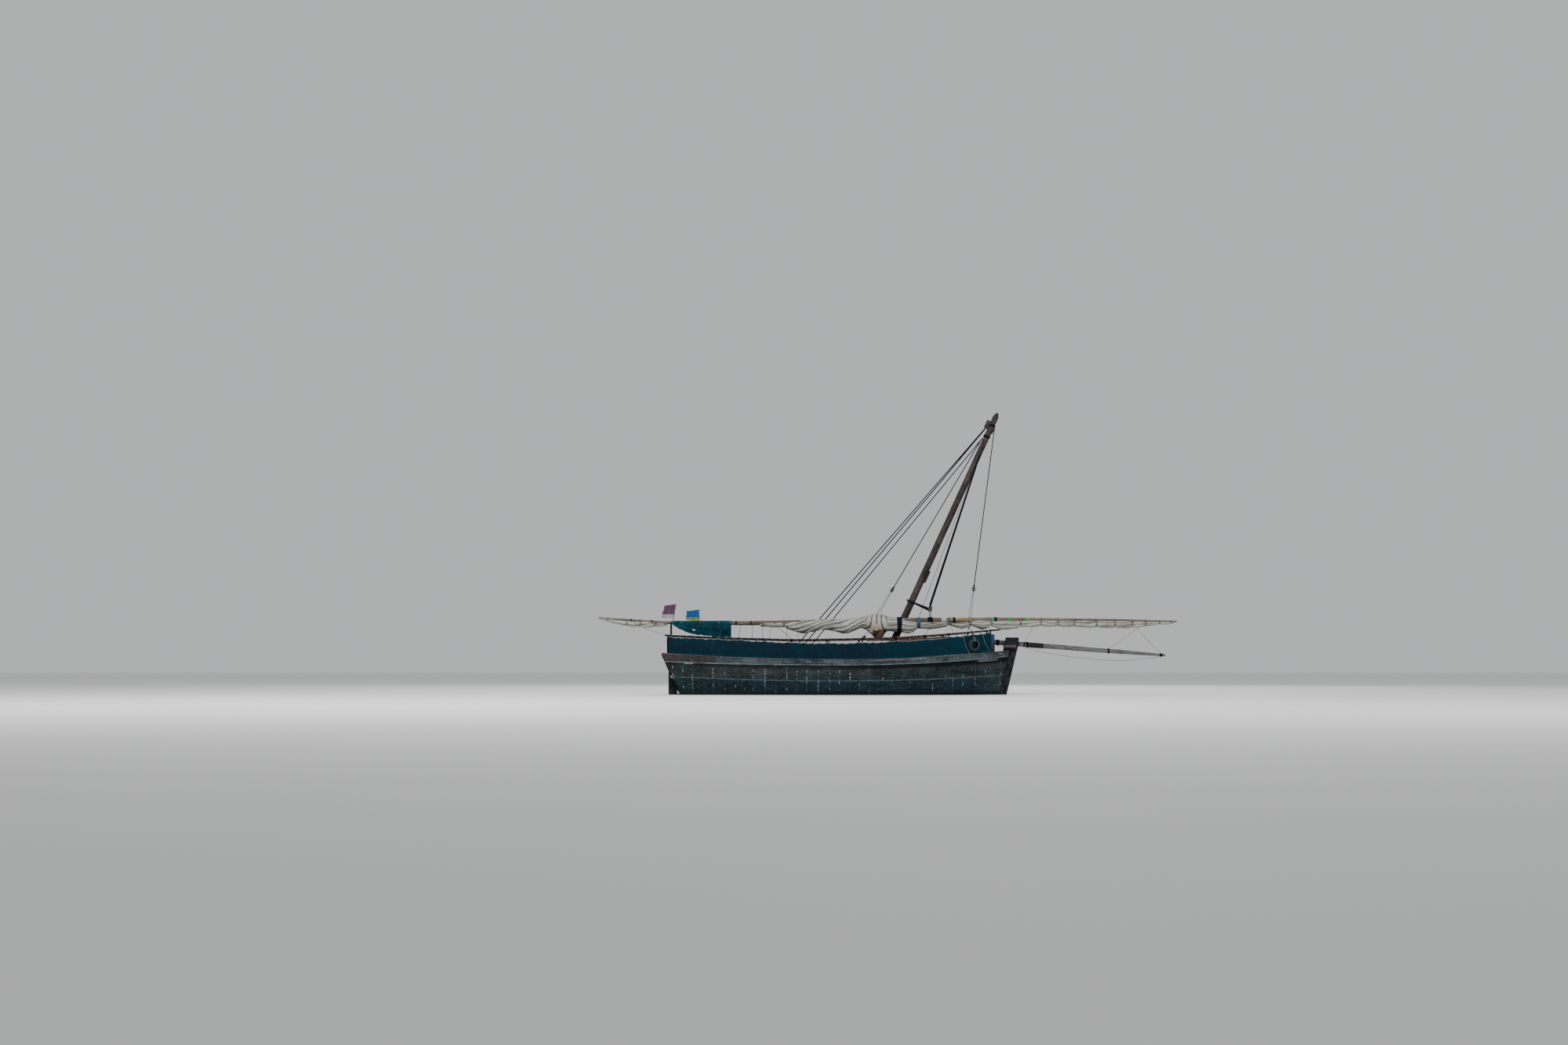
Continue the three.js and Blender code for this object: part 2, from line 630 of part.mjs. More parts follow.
const gunwaleRoom = sheerBand(-9000, 8500, () => -300, () => GAP);
const railRoom = {};
for (const [side, , sign] of SIDES) {
  const pole = solid(spar(railXs.map((x) => [x, railY(x) * sign, railZ(x), RAIL_R]), 8));
  const posts = STANCHION_XS.map((x) => {
    const low = sheerZ(x) - 20;
    const geometry = new THREE.CylinderGeometry(POST_R, POST_R, railZ(x) - low, 8);
    geometry.rotateX(Math.PI / 2);
    geometry.translate(x, railY(x) * sign, (railZ(x) + low) / 2);
    return solid(geometry);
  });
  part(`rail_${side}`, joined([pole, ...posts]).subtract(gunwaleRoom), POLE_DARK, 0.85);
  railRoom[side] = solid(spar(railXs.map((x) => [x, railY(x) * sign, railZ(x), RAIL_R + 0.5]), 8));
  const rings = clothXs.map((x, k) => {
    const inY = (railY(x) + (POST_R + 0.5) * stretch(clothXs, k)) * sign;
    const outY = inY + CLOTH_THICK * sign;
    const low = sheerZ(x) + 2;
    const high = readTable(CLOTH_TOP, x, 1);
    return [[x, inY, low], [x, outY, low], [x, outY, high], [x, inY, high]];
  });
  part(`wash_cloth_${side}`, loft(rings), CLOTH_GREEN, 0.9);
}

const STERN_RAIL_X = -8105;
const STERN_RAIL_Z = 2790;
const STERN_RAIL_HALF = railY(STERN_RAIL_X - RAIL_R) - 1.05 * RAIL_R - 1;
const STERN_CLOTH_HALF = STERN_RAIL_HALF - 60;
const STERN_POST_YS = [-1050, 1050];
const poopTop = (x) => sheerZ(x) + POOP_UNDER + DECK_THICK;
const sternPoleBody = (grow) => solid(spar([
  [STERN_RAIL_X, -STERN_RAIL_HALF, STERN_RAIL_Z, RAIL_R + grow],
  [STERN_RAIL_X, STERN_RAIL_HALF, STERN_RAIL_Z, RAIL_R + grow],
], 8));
const sternPole = sternPoleBody(0);
railRoom.stern = sternPoleBody(0.5);
const sternPosts = STERN_POST_YS.map((y) => box(
  [STERN_RAIL_X - POST_R, y - POST_R, poopTop(STERN_RAIL_X - POST_R) + GAP],
  [STERN_RAIL_X + POST_R, y + POST_R, STERN_RAIL_Z],
));
part('rail_stern', joined([sternPole, ...sternPosts]), POLE_DARK, 0.85);
const sternCloth = box(
  [STERN_RAIL_X - POST_R - 0.5 - CLOTH_THICK, -STERN_CLOTH_HALF, SHEER[0][1] + 2],
  [STERN_RAIL_X - POST_R - 0.5, STERN_CLOTH_HALF, 2735],
);
part('wash_cloth_stern', sternCloth, CLOTH_GREEN, 0.9);

// The yard: two spars side by side where they are lashed, x and height of both
const YARD_LINE = [
  [-11434, 3647], [-10000, 3540], [-8262, 3419], [-4454, 3400], [0, 3470], [2974, 3538],
  [5300, 3558], [7600, 3562], [12306, 3531], [16020, 3475],
];
const AFT_SPAR_R = [
  [-11434, 45], [-8262, 75], [-4454, 100], [0, 115], [2974, 112], [5300, 100], [7600, 85],
];
const FORE_SPAR_R = [[5300, 85], [7600, 100], [12306, 72], [16020, 40]];
const SPAR_SIDES = 10;
const yardZ = (x) => readTable(YARD_LINE, x, 1);
const aftR = (x) => readTable(AFT_SPAR_R, x, 1);
const foreR = (x) => readTable(FORE_SPAR_R, x, 1);
const LASH_OFFSET = 185.6;
const FORE_Y = YARD_Y - LASH_OFFSET;
const aftXs = YARD_LINE.map((row) => row[0]).filter((x) => x <= 7600);
const foreXs = YARD_LINE.map((row) => row[0]).filter((x) => x >= 5300);
const aftSpar = (grow) => spar(aftXs.map((x) => [x, YARD_Y, yardZ(x), aftR(x) + grow]), SPAR_SIDES);
const foreSpar = (grow) => spar(foreXs.map((x) => [x, FORE_Y, yardZ(x), foreR(x) + grow]), SPAR_SIDES);
part('yard_aft_spar', aftSpar(0), WOOD_YARD, 0.75);
part('yard_fore_spar', foreSpar(0), WOOD_YARD, 0.75);
const sparRoom = solid(aftSpar(0.6)).add(solid(foreSpar(0.6)));

// Crutch that carries the aft end of the yard
const CRUTCH_X = -7990;
const CRUTCH_HALF = 45;
const forkFloor = yardZ(CRUTCH_X) - 0.8 * aftR(CRUTCH_X);
const crutchPost = box(
  [CRUTCH_X - CRUTCH_HALF, YARD_Y - CRUTCH_HALF, poopTop(CRUTCH_X - CRUTCH_HALF) + GAP],
  [CRUTCH_X + CRUTCH_HALF, YARD_Y + CRUTCH_HALF, forkFloor],
);
const forkHead = box(
  [CRUTCH_X - 35, YARD_Y - 135, forkFloor - 90],
  [CRUTCH_X + 35, YARD_Y + 135, forkFloor + 110],
);
const forkSlot = box(
  [CRUTCH_X - 60, YARD_Y - 95, forkFloor],
  [CRUTCH_X + 60, YARD_Y + 95, forkFloor + 300],
);
const crutch = crutchPost.add(forkHead.subtract(forkSlot)).subtract(sparRoom);
part('yard_crutch', crutch, WOOD_CRUTCH, 0.9);

// Furled sail, gathered to the yard: x, rise above the yard line, lowest height, half width
const SAIL_SIDES = 12;
const SAILS = [
  ['sail_tail', YARD_Y, [
    [-11330, 0, 3555, 70], [-10090, 0, 3251, 95], [-9250, 0, 3188, 115],
    [-8500, 0, 3240, 105], [-8150, 0, 3270, 95],
  ]],
  ['sail_aft', YARD_Y, [
    [-3780, 20, 3240, 130], [-2625, 40, 3180, 150], [-1800, 100, 2965, 210],
    [-620, 120, 3170, 190], [310, 130, 2960, 220], [1280, 190, 3230, 230],
  ]],
  ['sail_bunch', YARD_Y, [
    [1300, 250, 3160, 235], [1480, 330, 2780, 250], [1850, 350, 2654, 260],
    [2130, 300, 2880, 250], [2280, 240, 3090, 235],
  ]],
  ['sail_mid', YARD_Y, [
    [2300, 180, 3060, 230], [3370, 150, 2925, 240], [4100, 130, 3090, 220], [5240, 120, 3200, 150],
  ]],
  ['sail_fore', FORE_Y, [
    [6330, 10, 3250, 130], [8010, 30, 3150, 150], [9000, 30, 3235, 140], [10070, 30, 3270, 125],
    [12000, 20, 3180, 125], [13800, 10, 3176, 110], [15000, 0, 3290, 80], [15900, 0, 3390, 60],
  ]],
];

// Yard sling with its halyard block, and the parrel round the mast
const SLING_X = 4330;
const SLING_LONG = 260;
const SLING_THICK = 32;
const SLING_BLOCK = { wide: 130, deep: 110, low: 3930, high: 4240 };
const slingBand = (grow) => solid(spar([
  [SLING_X - SLING_LONG / 2 - grow, YARD_Y, yardZ(SLING_X), aftR(SLING_X) + SLING_THICK + grow],
  [SLING_X + SLING_LONG / 2 + grow, YARD_Y, yardZ(SLING_X), aftR(SLING_X) + SLING_THICK + grow],
], 12));
const strop = (grow) => box(
  [SLING_X - 40 - grow, YARD_Y - 30 - grow, yardZ(SLING_X) + aftR(SLING_X) + 8],
  [SLING_X + 40 + grow, YARD_Y + 30 + grow, SLING_BLOCK.low + 20],
);
const block = box(
  [SLING_X - SLING_BLOCK.wide / 2, YARD_Y - SLING_BLOCK.deep / 2, SLING_BLOCK.low],
  [SLING_X + SLING_BLOCK.wide / 2, YARD_Y + SLING_BLOCK.deep / 2, SLING_BLOCK.high],
);
part('yard_sling', joined([slingBand(0).subtract(sparRoom), strop(0), block]), ROPE_DARK, 0.85);

const PARREL_R = 24;
const PARREL_Z = 4420;
const PARREL_RADIUS = mastR(PARREL_Z) + PARREL_R + 34;
const parrelX = mastX(PARREL_Z);
const blockFace = YARD_Y + SLING_BLOCK.deep / 2 + PARREL_R + 1;
const parrelArc = [];
for (let angle = -50; angle <= 230; angle += 28) {
  const turn = toRadians(angle);
  parrelArc.push([
    parrelX + PARREL_RADIUS * Math.cos(turn),
    PARREL_RADIUS * Math.sin(turn) * 1.02,
    PARREL_Z - 0.4 * PARREL_RADIUS * Math.cos(turn),
    PARREL_R,
  ]);
}
const parrelRoute = [
  [SLING_X + 10, blockFace, 4070, PARREL_R],
  ...parrelArc,
  [SLING_X - 60, blockFace, 4010, PARREL_R],
];
const toggle = box(
  [SLING_X - 100, blockFace + GAP - PARREL_R - 1, 3965],
  [SLING_X + 50, blockFace + 30, 4105],
);
part('yard_parrel', solid(spar(parrelRoute, 8)).add(toggle), ROPE_DARK, 0.85);

const slingRoom = slingBand(0.6).add(strop(0.6));
for (const [name, y, rows] of SAILS) {
  const rings = rows.map(([x, rise, low, half]) => {
    const high = yardZ(x) + rise;
    const ring = [];
    for (let n = 0; n < SAIL_SIDES; n += 1) {
      const angle = (2 * Math.PI * n) / SAIL_SIDES;
      const height = (high + low) / 2 + ((high - low) / 2) * Math.sin(angle);
      ring.push([x, y + half * Math.cos(angle), height]);
    }
    return ring;
  });
  part(name, solid(loft(rings)).subtract(sparRoom).subtract(slingRoom), CANVAS, 0.95);
}

// Torn tarpaulin hung over the yard near the stern: x, lowest height each side of the yard
const TARP = [
  [-7900, 3300, 3300], [-7650, 3150, 3200], [-7100, 2915, 3120], [-6200, 2790, 3100],
  [-5140, 2690, 3060],
];
const TARP_THICK = 20;
const tarpVolume = (grow, drop) => solid(loft(TARP.map(([x, starboard, port], k) => {
  const reach = aftR(x) + 8 + grow;
  const top = yardZ(x) + (grow ? aftR(x) + grow : 0.5 * aftR(x));
  const end = drop ? [-40, 0, 0, 0, 40][k] : 0;
  return [
    [x + end, YARD_Y - reach, starboard - drop],
    [x + end, YARD_Y - reach, top],
    [x + end, YARD_Y + reach, top],
    [x + end, YARD_Y + reach, port - drop],
  ];
})));
const tarp = tarpVolume(TARP_THICK, 0).subtract(tarpVolume(0, 600)).subtract(sparRoom);
part('tarp', tarp, TARP_GREEN, 0.95);

// Car tyre hung as a fender outside the starboard wash cloth
const TYRE_X = 6270;
const TYRE_Z = 2359;
const TYRE = { outer: 300, inner: 180, wide: 180, shoulder: 40 };
const tyreHalf = TYRE.wide / 2;
const tyreProfile = [
  [TYRE.inner, -tyreHalf + 20],
  [TYRE.outer - TYRE.shoulder, -tyreHalf],
  [TYRE.outer, -tyreHalf + TYRE.shoulder],
  [TYRE.outer, tyreHalf - TYRE.shoulder],
  [TYRE.outer - TYRE.shoulder, tyreHalf],
  [TYRE.inner, tyreHalf - 20],
];
const tyreRing = [...tyreProfile, tyreProfile[0]].map(([r, y]) => new THREE.Vector2(r, y));
const tyre = new THREE.LatheGeometry(tyreRing, 24);
const tyreSlope = (sheerHalf(TYRE_X + 300) - sheerHalf(TYRE_X - 300)) / 600;
const tyreTurn = Math.atan(-tyreSlope);
const clothFace = Math.max(...[-300, 0, 300].map((dx) => (
  railY(TYRE_X + dx) - tyreSlope * dx + POST_R * 1.2 + 0.5 + CLOTH_THICK
)));
tyre.rotateZ(tyreTurn);
tyre.translate(
  TYRE_X + tyreHalf * Math.sin(tyreTurn),
  -clothFace - tyreHalf * Math.cos(tyreTurn),
  TYRE_Z,
);
part('tyre_fender', solid(tyre), RUBBER, 0.9);

// Plastic drum on the foredeck, to starboard of the bowsprit
const DRUM = { x: 7130, y: -330, r: 285, high: 880 };
const drumSeat = deckTop(DRUM.x + DRUM.r);
const drumGeometry = new THREE.CylinderGeometry(DRUM.r, DRUM.r, DRUM.high, 20);
drumGeometry.rotateX(Math.PI / 2);
drumGeometry.translate(DRUM.x, DRUM.y, drumSeat + DRUM.high / 2);
part('drum', drumGeometry, PLASTIC_BLUE, 0.45);

// Flagpoles and plain flags at the stern: rail, foot, head, length of fly, hem height
const BLUE_X = -6747;
const BLUE_Y = railY(BLUE_X);
const FLAGS = [
  ['maroon', 'stern', [STERN_RAIL_X, 600, STERN_RAIL_Z], [-7812, 600, 4345], 560, 3650, FLAG_MAROON],
  ['blue', 'port', [BLUE_X, BLUE_Y, railZ(BLUE_X)], [BLUE_X, BLUE_Y, 4110], 620, 3560, FLAG_BLUE],
];
const POLE_R = 18;
for (const [name, rail, foot, head, fly, hem, color] of FLAGS) {
  const pole = (grow) => solid(spar([[...foot, POLE_R + grow], [...head, POLE_R - 6 + grow]], 8));
  part(`flagpole_${name}`, pole(0).subtract(railRoom[rail]), POLE_BROWN, 0.8);
  const poleX = (z) => lerp(foot[0], head[0], (z - foot[2]) / (head[2] - foot[2]));
  const high = head[2] - 15;
  const outline = [
    [poleX(high), high], [poleX(hem), hem],
    [poleX(hem) - POLE_R - fly, hem - 25], [poleX(high) - POLE_R - fly, high - 60],
  ];
  const flag = board(outline, foot[1] - 4, foot[1] + 4).subtract(pole(0.5));
  const pieces = flag.decompose().sort((a, b) => b.volume() - a.volume());
  part(`flag_${name}`, pieces[0], color, 0.9);
}

// Standing rigging, all set up to port of the lowered yard: head, foot x, block height or none
const STAYS = [
  ['aft_backstay', [7064, 96, 12790], -2580, 2330, 15],
  ['fore_backstay', [7064, 135, 12760], -2230, 2330, 15],
  ['running_backstay', [6915, 70, 12290], -1850, 2330, 15],
  ['shroud', [6870, 110, 12240], 650, 5050, 13],
  ['forestay', [7520, 90, 12870], 6150, 5080, 13],
];
const BLOCK_R = 62;
for (const [name, head, footX, blockZ, r] of STAYS) {
  const foot = [footX, sheerHalf(footX) - 115, sheerZ(footX) - 20];
  const at = (z) => head.map((value, axis) => (
    lerp(foot[axis], value, (z - foot[2]) / (head[2] - foot[2]))
  ));
  const rows = [
    [...foot, r],
    [...at(blockZ - 170), r],
    [...at(blockZ - 110), BLOCK_R],
    [...at(blockZ + 110), BLOCK_R],
    [...at(blockZ + 170), r],
    [...head, r],
  ];
  part(`stay_${name}`, solid(spar(rows, 8)).subtract(gunwaleRoom), ROPE_DARK, 0.9);
}

// Slack line under the bowsprit
const SLACK_R = 12;
const SLACK = [
  [9007, 2248], [9200, 2170], [9500, 2085], [9900, 2000], [10300, 1928], [10700, 1865], [11200, 1795],
  [11700, 1735], [12200, 1685], [12700, 1650], [13200, 1630], [13700, 1632], [14200, 1660],
  [14700, 1708], [15100, 1758], [15420, 1819],
];
const slackPoints = SLACK.map(([x, z]) => new THREE.Vector3(x, BOWSPRIT_Y, z));
const slackPath = new THREE.CatmullRomCurve3(slackPoints);
const slackSection = new THREE.Shape();
slackSection.absarc(0, 0, SLACK_R, 0, 2 * Math.PI);
const slackLine = new THREE.ExtrudeGeometry(slackSection, {
  steps: 60,
  extrudePath: slackPath,
  curveSegments: 4,
});
part('slack_line', solid(slackLine), ROPE_PALE, 0.95);

export default group;
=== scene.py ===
"""Lateen-rigged cargo dhow: looks, sheets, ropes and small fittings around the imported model. Metres."""
import json
import math
import random

import bpy
import bmesh
from mathutils import Matrix, Vector, noise


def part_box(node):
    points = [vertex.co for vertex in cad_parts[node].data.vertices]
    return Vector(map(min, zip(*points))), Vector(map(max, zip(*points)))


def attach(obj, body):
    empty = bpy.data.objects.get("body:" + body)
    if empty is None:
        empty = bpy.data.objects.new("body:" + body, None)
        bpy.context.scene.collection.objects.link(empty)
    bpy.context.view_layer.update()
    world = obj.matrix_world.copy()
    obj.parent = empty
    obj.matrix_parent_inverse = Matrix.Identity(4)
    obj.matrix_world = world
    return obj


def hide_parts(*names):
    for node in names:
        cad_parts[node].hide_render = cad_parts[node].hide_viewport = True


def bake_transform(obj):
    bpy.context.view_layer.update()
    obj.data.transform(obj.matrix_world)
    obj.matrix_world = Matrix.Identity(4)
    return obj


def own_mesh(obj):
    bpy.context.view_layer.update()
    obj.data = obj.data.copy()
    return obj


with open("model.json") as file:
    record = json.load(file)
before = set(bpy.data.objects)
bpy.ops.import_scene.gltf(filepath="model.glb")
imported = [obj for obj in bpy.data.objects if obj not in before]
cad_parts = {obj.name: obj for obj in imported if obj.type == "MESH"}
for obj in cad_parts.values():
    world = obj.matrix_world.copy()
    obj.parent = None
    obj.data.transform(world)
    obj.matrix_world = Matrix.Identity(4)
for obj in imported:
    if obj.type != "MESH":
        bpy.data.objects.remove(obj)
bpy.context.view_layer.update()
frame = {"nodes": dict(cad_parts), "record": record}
RANDOM = random.Random(7)

# Photograph: size in pixels, horizon height, and the camera that it gives
PHOTO_WIDE = 2000
PHOTO_HIGH = 1333
HORIZON_Y = 851
FOCAL_PX = 2778
SENSOR_MM = 36
CAMERA_AT = Vector((-2.625, -104.2, 1.31))
FAR_CLIP = 600

# Hull form, repeated from the part: lines, sheer and stations
STERN_X, STERN_RAKE = -7.530, 0.439
STEM_X, STEM_RAKE = 7.987, 0.243
STEM_SHOW = 0.390
KEEL_BOTTOM, HULL_BOTTOM = -1.250, -1.000
FOREFOOT = 1.600
SIDING = 0.090
CAP_THICK = 0.050
WALE_PROUD = 0.070
SHEER_MID, SHEER_HALF = 1.685, 8.400
SHEER_AFT_RISE, SHEER_FORE_RISE = 0.302, 0.460
# t, half breadth, fullness, hollow
STATIONS = [
    (0.00, 1.420, 1.30, 1.25), (0.06, 1.650, 1.15, 1.10), (0.14, 1.900, 1.00, 0.95),
    (0.24, 2.140, 0.88, 0.84), (0.36, 2.330, 0.80, 0.78), (0.48, 2.420, 0.76, 0.75),
    (0.60, 2.430, 0.76, 0.75), (0.70, 2.340, 0.80, 0.78), (0.79, 2.120, 0.86, 0.86),
    (0.87, 1.710, 0.94, 0.98), (0.93, 1.180, 1.00, 1.12), (0.97, 0.660, 1.00, 1.20),
    (1.00, 0.150, 1.00, 1.20),
]
WALE_DEPTH = [(-8.4, 0.450), (-5.0, 0.360), (-1.5, 0.305), (8.4, 0.310)]

# Rail, wash cloths and stanchions, repeated from the part
STANCHION_XS = [-8.0, -6.9, -5.8, -4.73, -3.54, -2.26, -0.54, 1.04, 2.6, 3.97, 5.1, 6.28, 7.15]
RAIL_TOP = [(-8.240, 2.807), (-5.195, 2.668), (-1.892, 2.582), (2.350, 2.663), (5.114, 2.861), (7.700, 3.095)]
CLOTH_TOP = [
    (-8.096, 2.740), (-5.195, 2.610), (-2.625, 2.483), (0.307, 2.446), (3.900, 2.600), (5.460, 2.758),
    (7.170, 2.950),
]
RAIL_INSET = 0.020
POST_R = 0.030
RAIL_R = 0.034
STERN_RAIL_X, STERN_RAIL_Z = -8.105, 2.790

# Yard and mast, repeated from the part
YARD_Y = -0.520
FORE_Y = YARD_Y - 0.1856
YARD_LINE = [
    (-11.434, 3.647), (-10.0, 3.540), (-8.262, 3.419), (-4.454, 3.400), (0.0, 3.470), (2.974, 3.538),
    (5.3, 3.558), (7.6, 3.562), (12.306, 3.531), (16.020, 3.475),
]
AFT_SPAR_R = [
    (-11.434, 0.045), (-8.262, 0.075), (-4.454, 0.100), (0.0, 0.115), (2.974, 0.112), (5.3, 0.100),
    (7.6, 0.085),
]
AFT_SPAR_END = AFT_SPAR_R[-1][0]
FORE_SPAR_R = [(5.3, 0.085), (7.6, 0.100), (12.306, 0.072), (16.020, 0.040)]
MAST_X0, MAST_RAKE = 1.441, 0.4596
MAST_FOOT_Z, MAST_TOP_Z = -0.640, 13.425
MAST_FOOT_R, MAST_TOP_R = 0.180, 0.140
# Bowsprit's middle across the boat, and its height at one place with its drop for each metre forward
BOWSPRIT_Y, BOWSPRIT_X, BOWSPRIT_Z, BOWSPRIT_DROP = 0.2103, 8.587, 2.411, 0.0762
SIDES = (("port", 1), ("starboard", -1))
SLOTS = {row["node"]: row["material_slot"] for row in frame["record"]["subparts"]}


def clamp(value, low=0.0, high=1.0):
    return max(low, min(high, value))


def lerp(a, b, share):
    return a + (b - a) * share


def wobble(x, y, z):
    """Smooth random number, about -1 to 1, for a place."""
    return noise.noise(Vector((x, y, z)))


def steps(low, high, count):
    """Evenly spaced numbers from low to high, count steps apart."""
    return [lerp(low, high, k / count) for k in range(count + 1)]


def circle(count):
    """Cosine and sine at evenly spaced angles round a circle."""
    angles = [2 * math.pi * n / count for n in range(count)]
    return [(math.cos(a), math.sin(a)) for a in angles]


def rounded(value, power):
    """Value with its size raised to a power and its sign kept."""
    return math.copysign(abs(value) ** power, value)


def read(table, at, column=1):
    """Linear reading of a table whose first column rises."""
    if at <= table[0][0]:
        return table[0][column]
    for low, high in zip(table, table[1:]):
        if at <= high[0]:
            return lerp(low[column], high[column], (at - low[0]) / (high[0] - low[0]))
    return table[-1][column]


def smooth_read(table, at, column=1):
    """Reading of the same table along a smooth curve through its rows."""
    last = len(table) - 1
    k = 0
    while k < last - 1 and at > table[k + 1][0]:
        k += 1
    x0, x1 = table[k][0], table[k + 1][0]
    u = clamp((at - x0) / (x1 - x0))

    def slope(n):
        low, high = max(n - 1, 0), min(n + 1, last)
        return (table[high][column] - table[low][column]) / (table[high][0] - table[low][0])

    m0, m1 = slope(k) * (x1 - x0), slope(k + 1) * (x1 - x0)
    y0, y1 = table[k][column], table[k + 1][column]
    u2, u3 = u * u, u * u * u
    return (2 * u3 - 3 * u2 + 1) * y0 + (u3 - 2 * u2 + u) * m0 + (3 * u2 - 2 * u3) * y1 + (u3 - u2) * m1


def stern_x(z):
    return STERN_X - STERN_RAKE * z


def stem_x(z):
    forefoot = FOREFOOT * min(z / KEEL_BOTTOM, 1) ** 2 if z < 0 else 0
    return STEM_X + STEM_RAKE * z - forefoot


def plank_end_x(z):
    return stem_x(z) - STEM_SHOW


def sheer_row(t):
    """x, height of the gunwale top and half breadth at a share t of the length."""
    z = SHEER_MID
    for _ in range(6):
        x = lerp(stern_x(z - CAP_THICK), plank_end_x(z - CAP_THICK), t)
        rise = SHEER_AFT_RISE if x < 0 else SHEER_FORE_RISE
        z = SHEER_MID + rise * (x / SHEER_HALF) ** 2
    return x, z, smooth_read(STATIONS, t)


SHEER = [sheer_row(row[0]) for row in STATIONS]


def sheer_z(x):
    return read(SHEER, x)


def sheer_half(x):
    return read(SHEER, x, 2)


def mast_x(z):
    return MAST_X0 + MAST_RAKE * z


def mast_r(z):
    return lerp(MAST_FOOT_R, MAST_TOP_R, (z - MAST_FOOT_Z) / (MAST_TOP_Z - MAST_FOOT_Z))


def rail_z(x):
    return read(RAIL_TOP, x)


def rail_y(x):
    return sheer_half(x) - RAIL_INSET


def yard_z(x):
    return read(YARD_LINE, x)


def yard_r(x):
    return read(AFT_SPAR_R, x) if x < AFT_SPAR_END else read(FORE_SPAR_R, x)


def bowsprit_z(x):
    return BOWSPRIT_Z - BOWSPRIT_DROP * (x - BOWSPRIT_X)


# Camera and world
def make_camera():
    """The photograph's camera: level with the rail, looking square at the starboard side."""
    data = bpy.data.cameras.new("camera")
    data.sensor_width = SENSOR_MM
    data.lens = FOCAL_PX / PHOTO_WIDE * SENSOR_MM
    data.clip_end = FAR_CLIP
    camera = bpy.data.objects.new("camera", data)
    bpy.context.scene.collection.objects.link(camera)
    pitch = math.atan((HORIZON_Y - PHOTO_HIGH / 2) / FOCAL_PX)
    camera.location = CAMERA_AT
    camera.rotation_euler = (math.pi / 2 + pitch, 0, 0)
    bpy.context.scene.camera = camera
    return camera


def waterline_point(t):
    """x and half breadth, in the thickness of the planking, where the hull meets the floor."""
    t = lerp(0.012, 0.995, t)
    row = station(t)
    point = section_point(t, -HULL_BOTTOM / (row[0] - HULL_BOTTOM), FLOOR_INSET, 1, row)
    return point.x, point.y


FLOOR_HALF = 400
FLOOR_INSET = 0.030
LAMP_AIM = Vector((1, 0, 3))
# name, place, power in watts, size in metres
LAMPS = [
    ("key", (-22, -38, 42), 28000, 16),
    ("fill", (40, -50, 20), 8000, 26),
    ("back", (10, 45, 35), 11000, 24),
]


def make_stage():
    """Pale floor at the waterline, open inside the hull; pale surround; soft light from above and around."""
    world = bpy.data.worlds.new("surround")
    world.use_nodes = True
    world.node_tree.nodes["Background"].inputs["Color"].default_value = (0.93, 0.94, 0.96, 1)
    world.node_tree.nodes["Background"].inputs["Strength"].default_value = 0.60
    bpy.context.scene.world = world
    paint = Shade("floor_paint")
    paint.set("Base Color", (0.84, 0.84, 0.83, 1))
    paint.set("Roughness", 0.85)
    mesh = bpy.data.meshes.new("floor")
    far = FLOOR_HALF
    rim = [waterline_point(t / 60) for t in range(61)]
    corners, faces = [], []
    for side in (-1, 1):
        start = len(corners)
        corners += [(x, side * y, 0) for x, y in rim] + [(x, side * far, 0) for x, _ in rim]
        for k in range(60):
            face = (start + k, start + k + 1, start + k + 62, start + k + 61)
            faces.append(face if side > 0 else face[::-1])
    for x, end in ((rim[0][0], -far), (rim[-1][0], far)):
        start = len(corners)
        corners += [(x, -far, 0), (x, far, 0), (end, far, 0), (end, -far, 0)]
        faces.append(tuple(range(start, start + 4)))
    mesh.from_pydata(corners, [], faces)
    mesh.materials.append(paint.material)
    floor = bpy.data.objects.new("floor", mesh)
    bpy.context.scene.collection.objects.link(floor)
    for name, place, power, size in LAMPS:
        light = bpy.data.lights.new(name, "AREA")
        light.energy = power
        light.size = size
        lamp = bpy.data.objects.new(name, light)
        lamp.location = place
        lamp.rotation_euler = (LAMP_AIM - Vector(place)).to_track_quat("-Z", "Y").to_euler()
        bpy.context.scene.collection.objects.link(lamp)


# Specular level of dry wood, rope and cloth, and of plastic and rubber
DULL, GLOSSY = 0.12, 0.45


class Wire:
    """One output of a node, which sums, products and the like take further."""

    def __init__(self, paint, socket):
        self.paint, self.socket = paint, socket

    def __add__(self, other):
        return self.paint.maths("ADD", self, other)

    def __sub__(self, other):
        return self.paint.maths("SUBTRACT", self, other)

    def __rsub__(self, other):
        return self.paint.maths("SUBTRACT", other, self)

    def __mul__(self, other):
        return self.paint.maths("MULTIPLY", self, other)

    def __truediv__(self, other):
        return self.paint.maths("DIVIDE", self, other)

    def __abs__(self):
        return self.paint.maths("ABSOLUTE", self)

    def floor(self):
        return self.paint.maths("FLOOR", self)

    def fract(self):
        return self.paint.maths("FRACT", self)

    def fused(self, factor, added):
        """Product with a factor and then a sum, in one node."""
        return self.paint.maths("MULTIPLY_ADD", self, factor, added)


